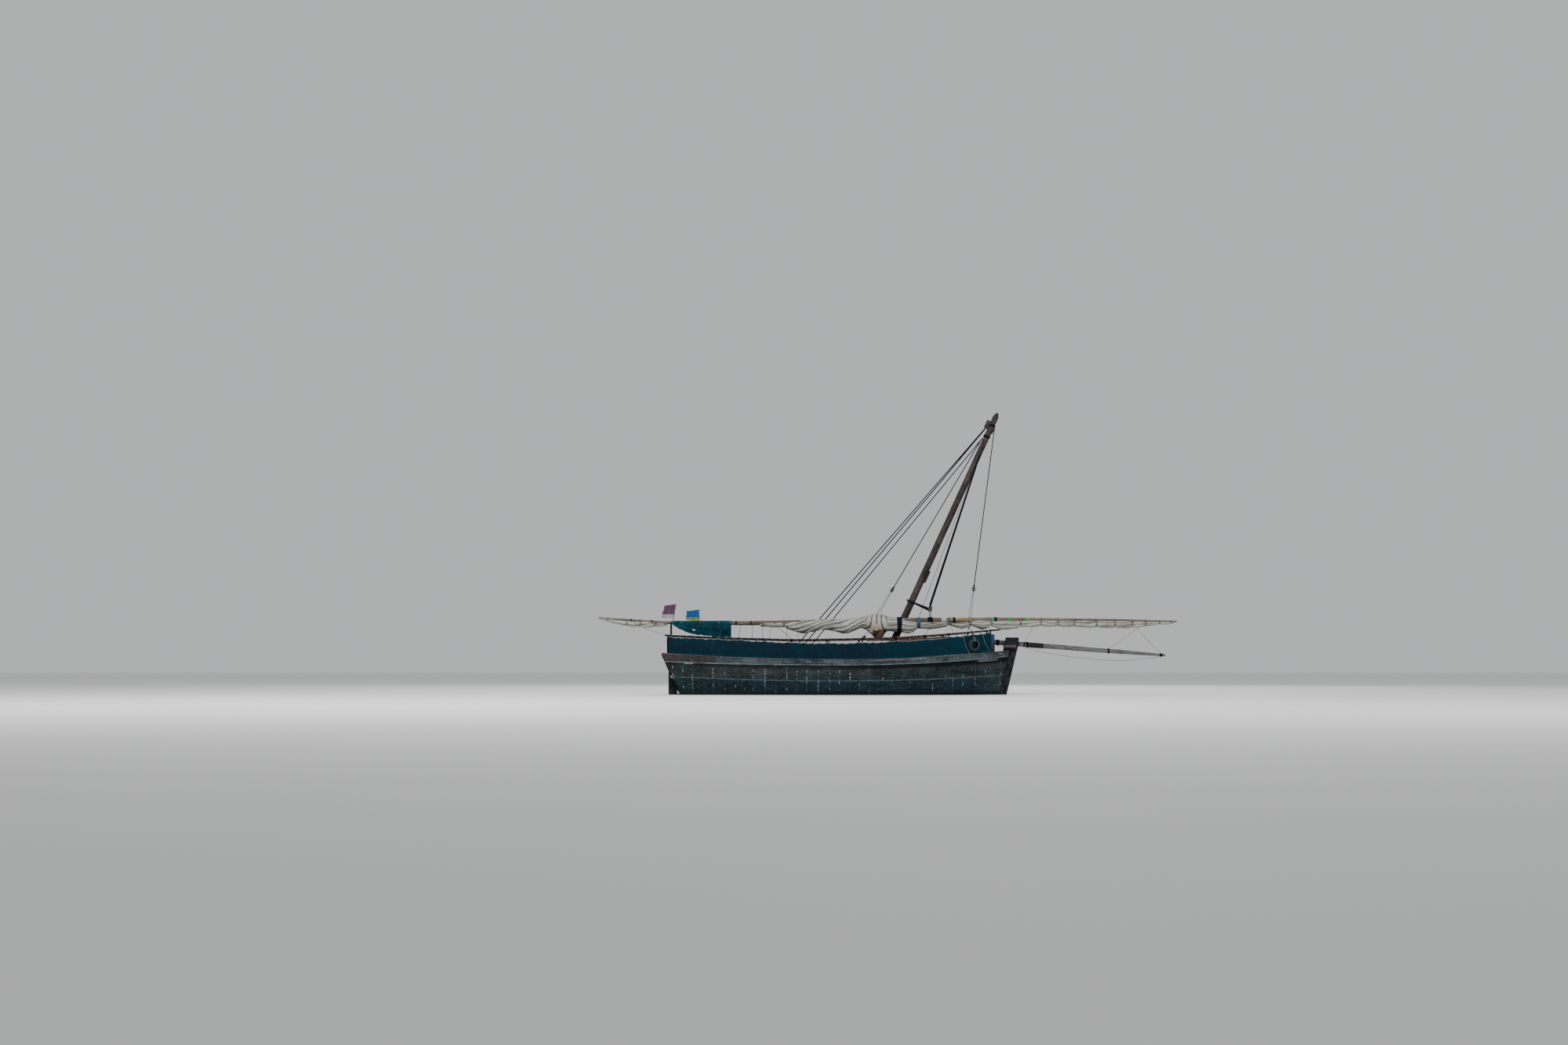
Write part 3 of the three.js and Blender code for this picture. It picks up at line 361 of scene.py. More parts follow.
class Shade:
    """One material's node tree, with short names for its nodes. Colours are as photographed, 0 to 255."""

    def __init__(self, name):
        self.name = name
        self.material = bpy.data.materials.new(name)
        self.material.use_nodes = True
        self.tree = self.material.node_tree
        self.tree.nodes.clear()
        out = self.add("ShaderNodeOutputMaterial")
        self.surface = self.add("ShaderNodeBsdfPrincipled")
        self.surface.inputs["Specular IOR Level"].default_value = DULL
        self.tree.links.new(self.surface.outputs[0], out.inputs["Surface"])
        coords = self.add("ShaderNodeTexCoord")
        self.uv = Wire(self, coords.outputs["UV"])
        self.place = Wire(self, coords.outputs["Object"])

    def add(self, kind, **settings):
        node = self.tree.nodes.new(kind)
        for key, value in settings.items():
            setattr(node, key, value)
        return node

    def feed(self, socket, value):
        if isinstance(value, Wire):
            self.tree.links.new(value.socket, socket)
        else:
            socket.default_value = linear(value) if socket.type == "RGBA" else value

    def set(self, name, value):
        self.feed(self.surface.inputs[name], value)

    def wire(self, kind, inputs, output=0, **settings):
        """New node with its inputs fed by name or number; gives one output."""
        node = self.add(kind, **settings)
        for key, value in inputs.items():
            self.feed(node.inputs[key], value)
        return Wire(self, node.outputs[output])

    def scaled(self, scale, turn=(0, 0, 0)):
        return self.wire("ShaderNodeMapping", {"Vector": self.place, "Scale": scale, "Rotation": turn})

    def axes(self, source=None):
        node = self.add("ShaderNodeSeparateXYZ")
        self.feed(node.inputs[0], source or self.place)
        return [Wire(self, output) for output in node.outputs]

    def joined(self, x, y, z=0.0):
        return self.wire("ShaderNodeCombineXYZ", {0: x, 1: y, 2: z})

    def noise(self, vector, scale=1.0, detail=4.0, rough=0.55, distortion=0.0):
        return self.wire("ShaderNodeTexNoise", {"Vector": vector, "Scale": scale, "Detail": detail,
                                                "Roughness": rough, "Distortion": distortion})

    def waves(self, vector, scale, distortion, axis):
        return self.wire("ShaderNodeTexWave", {"Vector": vector, "Scale": scale, "Distortion": distortion},
                         "Fac", bands_direction=axis)

    def ramp(self, factor, *stops):
        """Colour or grey ramp: stops are (place, colour), a grey being one number."""
        node = self.add("ShaderNodeValToRGB")
        self.feed(node.inputs[0], factor)
        band = node.color_ramp
        while len(band.elements) < len(stops):
            band.elements.new(0.5)
        for element, (place, colour) in zip(band.elements, stops):
            element.position = place
            element.color = linear(colour)
        return Wire(self, node.outputs[0])

    def mix(self, factor, first, second, blend="MIX"):
        return self.wire("ShaderNodeMix", {0: factor, 6: first, 7: second}, 2, data_type="RGBA",
                         blend_type=blend)

    def shaded(self, colour, shade):
        return self.mix(1.0, colour, shade, "MULTIPLY")

    def blot(self, base, factor, low, high, share, colour):
        """Base with a share of a colour laid over it where a factor rises from low to high."""
        return self.mix(self.ramp(factor, (low, 0.0), (high, share)), base, colour)

    def maths(self, operation, first, second=0.5, third=0.5):
        return self.wire("ShaderNodeMath", {0: first, 1: second, 2: third}, operation=operation)

    def span(self, value, low, high):
        """Smooth step of a value from 0 at low to 1 at high."""
        return self.wire("ShaderNodeMapRange", {"Value": value, "From Min": low, "From Max": high},
                         interpolation_type="SMOOTHSTEP")

    def cell(self, column, row):
        """Random value of one cell of a grid."""
        return self.wire("ShaderNodeTexWhiteNoise", {"Vector": self.joined(column, row)}, "Value",
                         noise_dimensions="2D")

    def bump(self, height, distance, strength=1.0, under=None):
        inputs = {"Height": height, "Distance": distance, "Strength": strength}
        return self.wire("ShaderNodeBump", {**inputs, "Normal": under} if under else inputs)


# Shares of a photographed red, green and blue that a paint returns, as the scene's light is less blue
PAINT_SHARE = (0.57, 0.62, 0.66)


def linear(colour):
    """Linear light of a grey, or of a photographed colour of three numbers to 255; four are light already."""
    if isinstance(colour, (int, float)):
        return (colour, colour, colour, 1)
    if len(colour) == 4:
        return colour
    parts = []
    for value, share in zip(colour, PAINT_SHARE):
        value /= 255
        parts.append(share * (value / 12.92 if value <= 0.04045 else ((value + 0.055) / 1.055) ** 2.4))
    return (*parts, 1)


def timber(name, dark, mid, pale, grain, rough=0.78, patch=0.5, depth=0.0025, lean=0.0):
    """Weathered wood: long grain, patches of wear, cracks along the grain, in object space turned by lean."""
    paint = Shade(name)
    paint.place = paint.scaled((1, 1, 1), turn=(0, -lean, 0))
    along = paint.scaled(grain)
    fibre = paint.noise(along, 3.2, 8, 0.62, 0.35)
    spread = paint.noise(paint.scaled((0.5, 1.3, 1.3)), 1.1, 3, 0.5)
    cracks = paint.noise(paint.scaled((grain[0] * 0.6, grain[1] * 2, grain[2] * 2)), 4.0, 3, 0.4)
    wood = paint.ramp(fibre, (0.30, dark), (0.52, mid), (0.74, pale))
    worn = paint.mix(paint.ramp(spread, (0.42, 0.0), (0.62, patch)), wood, pale)
    lines = paint.ramp(cracks, (0.36, 0.25), (0.44, 1.0))
    paint.set("Base Color", paint.shaded(worn, lines))
    paint.set("Roughness", paint.ramp(fibre, (0.3, rough - 0.12), (0.7, min(rough + 0.12, 1.0))))
    grooves = fibre * lines
    paint.set("Normal", paint.bump(grooves, depth, 0.9))
    return paint


FASTENING_STEP = 0.49
PLANK_LONG = 4.3
# Added to V on the inside of the shell
INSIDE_V = 20
PALE_SEAM = 6.0
# V at the wale's lower edge, and one more at its upper edge
WALE_V = 2
# Height of the drum below which it is fully darker
DRUM_DARK_TOP = 2.62
# x and top of the sail's brown corner
BROWN_CORNER = (1.92, 3.10)


def strake_paint():
    """Tarred planks, lime marks, tide line and a painted shadow below the wale. U is metres along the hull, V
    is strakes up.
    """
    paint = Shade("tarred_planking")
    u, v, _ = paint.axes(paint.uv)
    x, _, z = paint.axes()
    strake = v.floor()
    board = strake.fused(0.37, u / PLANK_LONG).floor()
    tone = paint.cell(board, strake)
    grain = paint.noise(paint.joined(u, v * 3.6), 2.6, 10, 0.68, 0.25)
    fibre = paint.noise(paint.joined(u * 1.5, v * 26.0), 2.2, 6, 0.6)
    tar = paint.ramp(grain, (0.3, (4, 14, 20)), (0.48, (16, 38, 46)), (0.62, (48, 74, 82)),
                     (0.78, (104, 120, 122)))
    high = paint.mix(tone, (78, 74, 66), (36, 50, 54))
    low = paint.mix(tone, (0, 40, 56), (10, 36, 44))
    upper = paint.span(z, 0.55, 1.0)
    base = paint.mix(0.5, tar, paint.mix(upper, low, high))
    base = paint.mix(paint.span(x, -5.6, -7.2) * 0.4, base, (22, 62, 52))
    base = paint.shaded(base, paint.ramp(fibre, (0.34, 0.45), (0.52, 1.0), (0.8, 1.4)))
    weather = paint.noise(paint.joined(u, v * 0.4), 1.2, 5, 0.62, 0.5)
    base = paint.shaded(base, paint.ramp(weather, (0.36, 0.4), (0.5, 0.95), (0.66, 1.7)))
    scuffs = paint.noise(paint.joined(u, v * 1.1), 4.2, 9, 0.74, 0.3)
    scuffed = paint.mix(upper, (72, 98, 104), (98, 94, 84))
    base = paint.blot(base, scuffs, 0.5, 0.66, 0.65, scuffed)
    flecks = paint.noise(paint.joined(u, v * 0.5), 11.0, 6, 0.7, 0.2)
    base = paint.blot(base, flecks, 0.57, 0.67, 0.6, (132, 144, 144))
    base = paint.mix(paint.ramp(flecks, (0.36, 0.55), (0.44, 0.0)), base, (10, 14, 17))
    outside = paint.span(v, INSIDE_V - 4.0, INSIDE_V - 5.0)
    dry = paint.ramp(grain, (0.3, (46, 36, 30)), (0.55, (82, 66, 54)), (0.78, (122, 104, 88)))
    base = paint.mix(outside, dry, base)
    # Short white lime marks below some of the fastenings
    waver = paint.noise(paint.joined(u, v * 0.7), 2.3, 3)
    uneven = paint.noise(paint.joined(u, 3.0), 1.1, 2)
    column = uneven.fused(1.1, u / FASTENING_STEP)
    column = flecks.fused(0.1, column)
    post = column.floor()
    busy = paint.cell(post, 71.0)
    level = v.fused(1.5, busy * 3.0)
    marked = busy.fused(0.45, paint.cell(post, level.floor()))
    marked = marked + paint.span(x, 2.0, 3.6).fused(-0.34, 0.2)
    across = abs(column.fract() - 0.5)
    along = abs(level.fract() - 0.5)
    taper = across * (1.7 - level.fract())
    mark = paint.span(taper, 0.042, 0.02) * paint.span(along, 0.42, 0.22)
    mark = mark * paint.span(marked, 0.92, 1.08)
    mark = mark * (outside * paint.ramp(scuffs, (0.38, 0.15), (0.5, 0.95)))
    base = paint.mix(mark, base, (190, 196, 192))
    faint = paint.span(across, 0.04, 0.01) * paint.ramp(scuffs, (0.45, 0.0), (0.6, 0.3))
    faint = faint * outside
    base = paint.mix(faint, base, (120, 128, 126))
    # Painted shadow below the wale: a dark band on the strakes, deeper forward of amidships
    wale_shadow = paint.span(v, 8.0, 8.45) * outside
    wale_shadow = wale_shadow * paint.span(x, -0.8, 1.0).fused(0.38, 0.52)
    base = paint.mix(wale_shadow, base, (6, 11, 15))
    # Pale caulked seam at the widest joint, and grey chafe along the other seams
    seam = abs(v - PALE_SEAM)
    chalk = paint.ramp(paint.noise(paint.joined(u, 0.0), 2.6, 5, 0.6), (0.34, 0.25), (0.56, 0.8))
    base = paint.mix(paint.span(seam, 0.13, 0.03) * chalk, base, (112, 126, 128))
    beside = abs(v.fract() - 0.5)
    chafe = paint.span(beside, 0.42, 0.49) * paint.ramp(waver, (0.42, 0.0), (0.7, 0.4))
    base = paint.mix(chafe, base, (66, 70, 68))
    # Scratched grey bow, and a dark wet band with weed above the waterline
    bow = paint.span(x, 6.2, 7.4) * paint.span(z, 1.15, 0.3)
    scratch = paint.noise(paint.scaled((2.5, 2.5, 14)), 2.2, 6, 0.7, 0.6)
    bow = bow * paint.ramp(scratch, (0.46, 0.0), (0.64, 0.6))
    base = paint.mix(bow, base, (118, 126, 130))
    tide = paint.noise(paint.scaled((0.9, 0.9, 0.9)), 2.0, 4).fused(-0.3, z)
    wet = paint.span(tide, 0.2, -0.08) * outside
    weed = paint.ramp(paint.noise(paint.scaled((6, 6, 14)), 2.0, 5), (0.35, (6, 18, 19)),
                      (0.7, (24, 42, 34)))
    paint.set("Base Color", paint.mix(wet * 0.85, base, weed))
    rough = paint.ramp(grain, (0.3, 0.6), (0.7, 0.88))
    paint.set("Roughness", paint.mix(wet, rough, 0.26))
    plugs = paint.bump(grain * 0.6, 0.006, 0.8)
    paint.set("Normal", paint.bump(fibre, 0.003, 0.9, plugs))
    return paint


def wale_paint():
    """Sun-bleached wale: grey, reddish on its aft length, pale along its lower edge from weathering and a
    painted highlight, worn pale at the bow.
    """
    paint = timber("grey_timber", (26, 31, 35), (67, 76, 81), (118, 126, 129), (0.55, 8, 8), 0.82, 0.4,
                   0.004)
    x, _, _ = paint.axes()
    wood = Wire(paint, paint.surface.inputs["Base Color"].links[0].from_socket)
    red = paint.ramp(paint.noise(paint.scaled((0.6, 8, 8)), 3.0, 7, 0.6, 0.4), (0.3, (36, 28, 27)),
                     (0.55, (72, 58, 54)), (0.8, (102, 88, 82)))
    wood = paint.mix(paint.span(x, -5.86, -5.94) * 0.85, wood, red)
    drips = paint.noise(paint.scaled((5.5, 5.5, 0.5)), 2.2, 4, 0.6)
    wood = paint.blot(wood, drips, 0.58, 0.74, 0.3, (146, 146, 142))
    dark = paint.noise(paint.scaled((3.0, 3.0, 0.8)), 2.0, 4, 0.6)
    wood = paint.blot(wood, dark, 0.52, 0.68, 0.6, (20, 27, 33))
    u, v, _ = paint.axes(paint.uv)
    # Pale band along the lower edge: weathered wood and a painted highlight
    edge = abs(v - (WALE_V + 0.09))
    broken = paint.noise(paint.joined(u, 5.0), 1.6, 5, 0.65)
    edge = paint.span(edge, 0.13, 0.06) * paint.ramp(broken, (0.38, 0.15), (0.56, 0.9))
    wood = paint.mix(edge, wood, (138, 146, 146))
    chafe = paint.noise(paint.scaled((1.8, 1.8, 9)), 2.0, 6, 0.7)
    bow = paint.span(x, 5.9, 6.9) * paint.ramp(chafe, (0.5, 0.0), (0.64, 0.6))
    paint.set("Base Color", paint.mix(bow, wood, (176, 176, 172)))
    return paint


def cloth_paint(name, deep, pale, light, weave=0.010, rough=0.85, fade_x=None, dusty=0.2):
    """Coarse woven sheeting: crossed threads, sun fading, dust along creases; on folded sheets, painted shade
    in the hollows and painted highlight on the ridges.
    """
    paint = Shade(name)
    x, _, _ = paint.axes()
    hollow, _, _ = paint.axes(paint.uv)
    threads = paint.noise(paint.scaled((1 / weave / 6, 1 / weave / 6, 1 / weave)), 1.0, 2, 0.5)
    cross = paint.noise(paint.scaled((1 / weave, 1 / weave / 6, 1 / weave / 6)), 1.0, 2, 0.5)
    body = paint.noise(paint.scaled((0.8, 0.8, 1.6)), 1.6, 5, 0.6)
    colour = paint.ramp(body, (0.30, deep), (0.58, pale), (0.86, light))
    if fade_x:
        colour = paint.mix(paint.span(x, *fade_x) * 0.6, colour, light)
    dust = paint.noise(paint.scaled((2.2, 2.2, 0.45)), 2.5, 5, 0.65, 0.5)
    colour = paint.mix(paint.ramp(dust, (0.56, 0.0), (0.76, dusty)), colour,
                       paint.mix(0.5, light, (150, 156, 152)))
    # Painted shade in the hollows of folds and painted highlight on their ridges, from U
    if name in FOLD_SHADED_PAINTS:
        colour = paint.shaded(colour, paint.ramp(hollow, (0.20, 0.50), (0.50, 0.86), (0.80, 1.25)))
    paint.set("Base Color", colour)
    paint.set("Roughness", rough)
    fine = paint.bump(threads + cross, weave * 0.12, 0.6)
    paint.set("Normal", paint.bump(body, 0.02, 0.35, fine))
    return paint


def canvas_paint():
    """Cotton sailcloth with painted shade in the creases, which U tells apart from the rolls; stains and a
    fine weave.
    """
    paint = Shade("sail_canvas")
    u, _, _ = paint.axes(paint.uv)
    body = paint.noise(paint.scaled((0.9, 1.6, 1.6)), 1.5, 6, 0.6, 0.3)
    colour = paint.ramp(body, (0.28, (160, 150, 138)), (0.5, (204, 196, 184)), (0.75, (230, 226, 216)))
    stain = paint.noise(paint.scaled((0.5, 1.1, 2.2)), 2.2, 5, 0.6, 0.5)
    colour = paint.blot(colour, stain, 0.5, 0.68, 0.55, (160, 134, 112))
    damp = paint.noise(paint.scaled((1.4, 2.0, 5)), 2.4, 5, 0.65)
    colour = paint.blot(colour, damp, 0.58, 0.76, 0.45, (116, 110, 104))
    x, _, z = paint.axes()
    corner = paint.span(abs(x - BROWN_CORNER[0]), 0.42, 0.3)
    corner = corner * paint.span(z, BROWN_CORNER[1], BROWN_CORNER[1] - 0.06)
    colour = paint.mix(corner, colour, (120, 92, 74))
    # Painted shade in the creases: darker where U is low
    colour = paint.shaded(colour, paint.ramp(u, (0.16, 0.08), (0.42, 0.36), (0.68, 0.82), (0.86, 1.0)))
    paint.set("Base Color", colour)
    paint.set("Roughness", 0.9)
    paint.set("Sheen Weight", 0.15)
    weave = paint.noise(paint.scaled((70, 70, 70)), 2.0, 2)
    creases = paint.noise(paint.scaled((2.2, 5, 9)), 2.6, 6, 0.62, 0.8)
    paint.set("Normal", paint.bump(weave, 0.0012, 0.5, paint.bump(creases, 0.022, 0.7)))
    return paint


def rope_paint(name, dark, pale, twist=38.0):
    """Laid rope: slanting strands in object space, with painted shade in the grooves between them, dusty on
    the outside.
    """
    paint = Shade(name)
    strands = paint.waves(paint.scaled((1, 1, 1), turn=(0.5, 0.6, 0.3)), twist, 1.5, "DIAGONAL")
    dust = paint.noise(paint.scaled((4, 4, 4)), 2.0, 5, 0.6)
    colour = paint.blot(dark, dust, 0.35, 0.7, 1.0, pale)
    # Painted shade in the grooves between the strands
    paint.set("Base Color", paint.shaded(colour, paint.ramp(strands, (0.1, 0.55), (0.6, 1.0))))
    paint.set("Roughness", 0.9)
    paint.set("Normal", paint.bump(strands, 0.004, 0.9))
    return paint


def rubber_paint():
    """Black rubber, grey with dust."""
    paint = Shade("tyre_rubber")
    dust = paint.noise(paint.scaled((5, 5, 5)), 2.0, 6, 0.65)
    paint.set("Base Color",
              paint.ramp(dust, (0.35, (22, 22, 23)), (0.6, (44, 43, 42)), (0.8, (92, 88, 82))))
    paint.set("Roughness", paint.ramp(dust, (0.3, 0.7), (0.7, 0.95)))
    paint.set("Specular IOR Level", GLOSSY)
    paint.set("Normal", paint.bump(paint.noise(paint.scaled((60, 60, 60)), 2.0, 3), 0.001, 0.6))
    return paint


def plastic_paint():
    """Blue moulded plastic, scuffed, and darker towards its lower part."""
    paint = Shade("blue_plastic")
    _, _, z = paint.axes()
    scuff = paint.noise(paint.scaled((7, 7, 3)), 2.2, 6, 0.7, 0.4)
    colour = paint.ramp(scuff, (0.32, (8, 44, 112)), (0.55, (14, 66, 152)), (0.82, (70, 112, 170)))
    # Darker towards the bottom of the drum
    darker_below = paint.span(scuff.fused(0.5, z), DRUM_DARK_TOP + 0.35, DRUM_DARK_TOP)
    paint.set("Base Color", paint.mix(darker_below * 0.9, colour, (34, 38, 46)))
    paint.set("Roughness", paint.ramp(scuff, (0.3, 0.32), (0.7, 0.62)))
    paint.set("Specular IOR Level", GLOSSY)
    paint.set("Normal", paint.bump(scuff, 0.0015, 0.5))
    return paint


def flag_paint(name, upper, lower, split, weave=0.004):
    """Plain bunting in two fields that meet at a height, faded in patches."""
    paint = Shade(name)
    _, _, z = paint.axes()
    ripple = paint.noise(paint.scaled((3, 3, 3)), 2.0, 4)
    level = ripple.fused(0.06, z)
    colour = paint.mix(paint.span(level, split, split + 0.03), lower, upper)
    fade = paint.ramp(paint.noise(paint.scaled((4, 4, 2)), 2.2, 5, 0.6), (0.35, 0.72), (0.7, 1.15))
    paint.set("Base Color", paint.shaded(colour, fade))
    paint.set("Roughness", 0.85)
    paint.set("Sheen Weight", 0.2)
    paint.set("Normal", paint.bump(paint.noise(paint.scaled((1 / weave,) * 3), 1.0, 2), 0.0006, 0.5))
    return paint


PAINTS = {}
# Paints of sheets, which hold their folds in U and paint shade into the hollows and highlight onto the ridges
FOLD_SHADED_PAINTS = ("wash_cloth", "tarpaulin")
# Grain of wood that runs along, across and up
ALONG, ACROSS, UP = (0.5, 9, 9), (9, 0.5, 9), (9, 9, 0.5)
# name, dark, mid and pale colours, grain, roughness
TIMBERS = [
    ("tarred_post", (16, 19, 22), (34, 37, 40), (66, 68, 68), (3, 3, 0.5), 0.78),
    ("cap_timber", (44, 41, 40), (84, 80, 77), (124, 119, 113), ALONG, 0.78),
    ("red_timber", (50, 31, 25), (98, 66, 54), (140, 106, 88), ACROSS, 0.78),
    ("board_timber", (66, 44, 38), (120, 86, 76), (166, 136, 124), ALONG, 0.78),
    ("rib_timber", (54, 36, 30), (92, 64, 52), (124, 94, 78), (2.2, 5, 1.1), 0.80),
    ("deck_timber", (60, 52, 44), (108, 96, 82), (150, 137, 120), ALONG, 0.78),
    ("mast_timber", (30, 27, 27), (66, 56, 52), (108, 92, 82), UP, 0.70),
    ("spar_timber", (62, 50, 42), (124, 104, 88), (168, 146, 126), ALONG, 0.70),
    ("tan_timber", (120, 86, 58), (176, 134, 94), (206, 170, 128), ALONG, 0.60),
    ("bowsprit_timber", (78, 74, 70), (124, 118, 112), (160, 154, 146), ALONG, 0.75),
    ("dark_pole", (24, 21, 20), (50, 42, 39), (86, 76, 69), ALONG, 0.75),
]
# name, deep, pale and light colours, weave in metres, roughness, x where it fades, share of dust
CLOTHS = [
    ("tan_canvas", (148, 128, 100), (186, 166, 136), (210, 194, 166), 0.006, 0.85, None, 0.2),
    ("wash_cloth", (0, 30, 42), (0, 41, 55), (0, 57, 70), 0.008, 0.80, (0.5, 6.5), 0.06),
    ("tarpaulin", (0, 46, 58), (0, 66, 78), (30, 112, 114), 0.012, 0.75, None, 0.25),
    ("blue_tape", (70, 84, 104), (104, 118, 136), (146, 156, 168), 0.003, 0.85, None, 0.2),
    ("white_tape", (196, 196, 192), (222, 222, 216), (238, 238, 232), 0.003, 0.85, None, 0.2),
    ("green_tape", (60, 128, 64), (92, 168, 92), (140, 190, 136), 0.003, 0.85, None, 0.2),
]
# name, dark and pale colours
ROPES = [
    ("dark_rope", (10, 14, 24), (34, 40, 54)), ("blue_rope", (10, 20, 48), (36, 52, 86)),
    ("pale_rope", (146, 136, 124), (204, 196, 184)), ("pink_rope", (120, 100, 98), (172, 152, 146)),
]


def make_paints():
    """Fills PAINTS with every paint by its name."""
    shades = [strake_paint(), wale_paint(), canvas_paint(), rubber_paint(), plastic_paint()]
    for name, dark, mid, pale, grain, rough in TIMBERS:
        lean = math.atan(MAST_RAKE) if name == "mast_timber" else 0.0
        shades.append(timber(name, dark, mid, pale, grain, rough, lean=lean))
    for name, deep, pale, light, weave, rough, fade_x, dusty in CLOTHS:
        shades.append(cloth_paint(name, deep, pale, light, weave, rough, fade_x, dusty))
    shades.append(flag_paint("maroon_flag", (112, 72, 98), (208, 194, 208), 3.86))
    shades.append(flag_paint("blue_flag", (38, 104, 170), (160, 172, 92), 3.74))
    for name, dark, pale in ROPES:
        shades.append(rope_paint(name, dark, pale))
    for shade in shades:
        PAINTS[shade.name] = shade


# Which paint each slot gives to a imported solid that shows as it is
SLOT_PAINT = {
    "tarred_planking": "tarred_post", "grey_timber": "cap_timber", "red_timber": "red_timber",
    "deck_timber": "deck_timber", "spar_timber": "spar_timber", "dark_pole": "dark_pole",
    "sail_canvas": "sail_canvas", "wash_cloth": "wash_cloth", "tarpaulin": "tarpaulin",
    "maroon_flag": "maroon_flag", "blue_flag": "blue_flag", "dark_rope": "dark_rope",
    "pale_rope": "pale_rope", "tyre_rubber": "tyre_rubber", "blue_plastic": "blue_plastic",
}
NODE_PAINT = {
    "mast": "mast_timber", "bowsprit": "bowsprit_timber", "frames_port": "rib_timber",
    "frames_starboard": "rib_timber", "keelson": "board_timber", "mast_step": "board_timber",
}


class Shape:
    """Joined geometry of one piece: lists of corners, faces and, where given, UV places."""

    def __init__(self):
        self.corners, self.faces, self.uvs = [], [], []

    def add(self, corners, faces, uvs=None):
        start = len(self.corners)
        self.corners += [tuple(point) for point in corners]
        self.faces += [tuple(start + k for k in face) for face in faces]
        self.uvs += uvs if uvs else [(0.0, 0.0)] * len(corners)

    def grid(self, rows, closed=False, uvs=None):
        """Faces over rows of equal length; closed joins each row's end to its start."""
        count = len(rows[0])
        faces = []
        for r in range(len(rows) - 1):
            for k in range(count if closed else count - 1):
                a, b = r * count + k, r * count + (k + 1) % count
                faces.append((a, b, b + count, a + count))
        self.add([p for row in rows for p in row], faces, uvs)

    def loft(self, rings, uvs=None):
        """Closed skin through rings, with a fan over each end."""
        count = len(rings[0])
        self.grid(rings, True, uvs)
        start = len(self.corners) - len(rings) * count
        for ring, turned in ((0, True), (len(rings) - 1, False)):
            points = [Vector(p) for p in rings[ring]]
            middle = sum(points, Vector()) / count
            self.corners.append(tuple(middle))
            self.uvs.append((0.0, 0.0))
            tip = len(self.corners) - 1
            for k in range(count):
                a, b = start + ring * count + k, start + ring * count + (k + 1) % count
                self.faces.append((b, a, tip) if turned else (a, b, tip))

    def tube(self, path, radius, sides=8):
        """Round tube along a path; radius is a number or a function of the share of the path."""
        points = [Vector(p) for p in path]
        last = len(points) - 1
        side = None
        rings = []
        for k, point in enumerate(points):
            along = (points[min(k + 1, last)] - points[max(k - 1, 0)]).normalized()
            if side is None:
                level = Vector((1, 0, 0)) if abs(along.z) > 0.9 else Vector((0, 0, 1))
                side = along.cross(level).normalized()
            side = (side - along * side.dot(along)).normalized()
            up = side.cross(along)
            size = radius(k / last) if callable(radius) else radius
            rings.append([point + size * (side * c + up * s) for c, s in circle(sides)])
        self.loft(rings)

    def turns(self, centre, axis, radius, rope, count, pitch=None, sides=6, steps=14, squash=1.0):
        """Rope turns round an axis: a helix whose ends tuck in."""
        centre, axis = Vector(centre), Vector(axis).normalized()
        level = Vector((0, 1, 0)) if abs(axis.y) < 0.9 else Vector((1, 0, 0))
        side = axis.cross(level).normalized()
        up = axis.cross(side)
        pitch = 2.05 * rope if pitch is None else pitch
        total = max(int(count * steps), 3)
        path = []
        for k in range(total + 1):
            angle = 2 * math.pi * k / steps
            along = (k / steps - count / 2) * pitch
            path.append(centre + axis * along + radius
                        * (side * math.cos(angle) + squash * up * math.sin(angle)))
        self.tube(path, rope, sides)

    def block(self, centre, size, turn=None, edge=0.006):
        """Bevelled box of a given size, turned by a matrix about its centre."""
        frame_ = turn or Matrix.Identity(3)
        hx, hy, hz = (value / 2 for value in size)
        rings = []
        for z, inset in ((-hz, edge), (-hz + edge, 0), (hz - edge, 0), (hz, edge)):
            x, y = hx - inset, hy - inset
            ring = []
            for px, py in ((x, y), (-x, y), (-x, -y), (x, -y)):
                sx, sy = math.copysign(1, px), math.copysign(1, py)
                first, second = (px, py - sy * edge, z), (px - sx * edge, py, z)
                ring += [first, second] if sx == sy else [second, first]
            rings.append([Vector(centre) + frame_ @ Vector(p) for p in ring])
        self.loft(rings)

    def ball(self, centre, radius, squash=(1, 1, 1), rings=8, sides=12):
        wide, deep, tall = (radius * share for share in squash)
        rows = []
        for r in range(1, rings):
            out, up = math.sin(math.pi * r / rings), math.cos(math.pi * r / rings)
            rows.append([Vector(centre) + Vector((wide * out * c, deep * out * s, tall * up))
                         for c, s in circle(sides)])
        self.loft(rows)

    def piece(self, name, slot, paint=None, body="hull", crease=None, replaces=()):
        """Blender object of the shape, riding on its body, with normals facing out."""
        mesh = bpy.data.meshes.new(name)
        mesh.from_pydata(self.corners, [], self.faces)
        layer = mesh.uv_layers.new(name="UVMap")
        uvs = self.uvs
        for loop in mesh.loops:
            layer.data[loop.index].uv = uvs[loop.vertex_index]
        work = bmesh.new()
        work.from_mesh(mesh)
        bmesh.ops.recalc_face_normals(work, faces=work.faces)
        work.to_mesh(mesh)
        work.free()
        mesh.shade_smooth()
        if crease:
            mesh.set_sharp_from_angle(angle=crease)
        return place_piece(mesh, slot, paint, body, replaces)


def place_piece(mesh, slot, paint=None, body="hull", replaces=()):
    """Object of a mesh in its paint, which is the slot's own where none is named."""
    mesh.materials.append(PAINTS[paint or slot].material)
    obj = bpy.data.objects.new(mesh.name, mesh)
    bpy.context.scene.collection.objects.link(obj)
    if body:
        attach(obj, body)
    if replaces:
        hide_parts(*replaces)
    return obj


SHARP = math.radians(38)


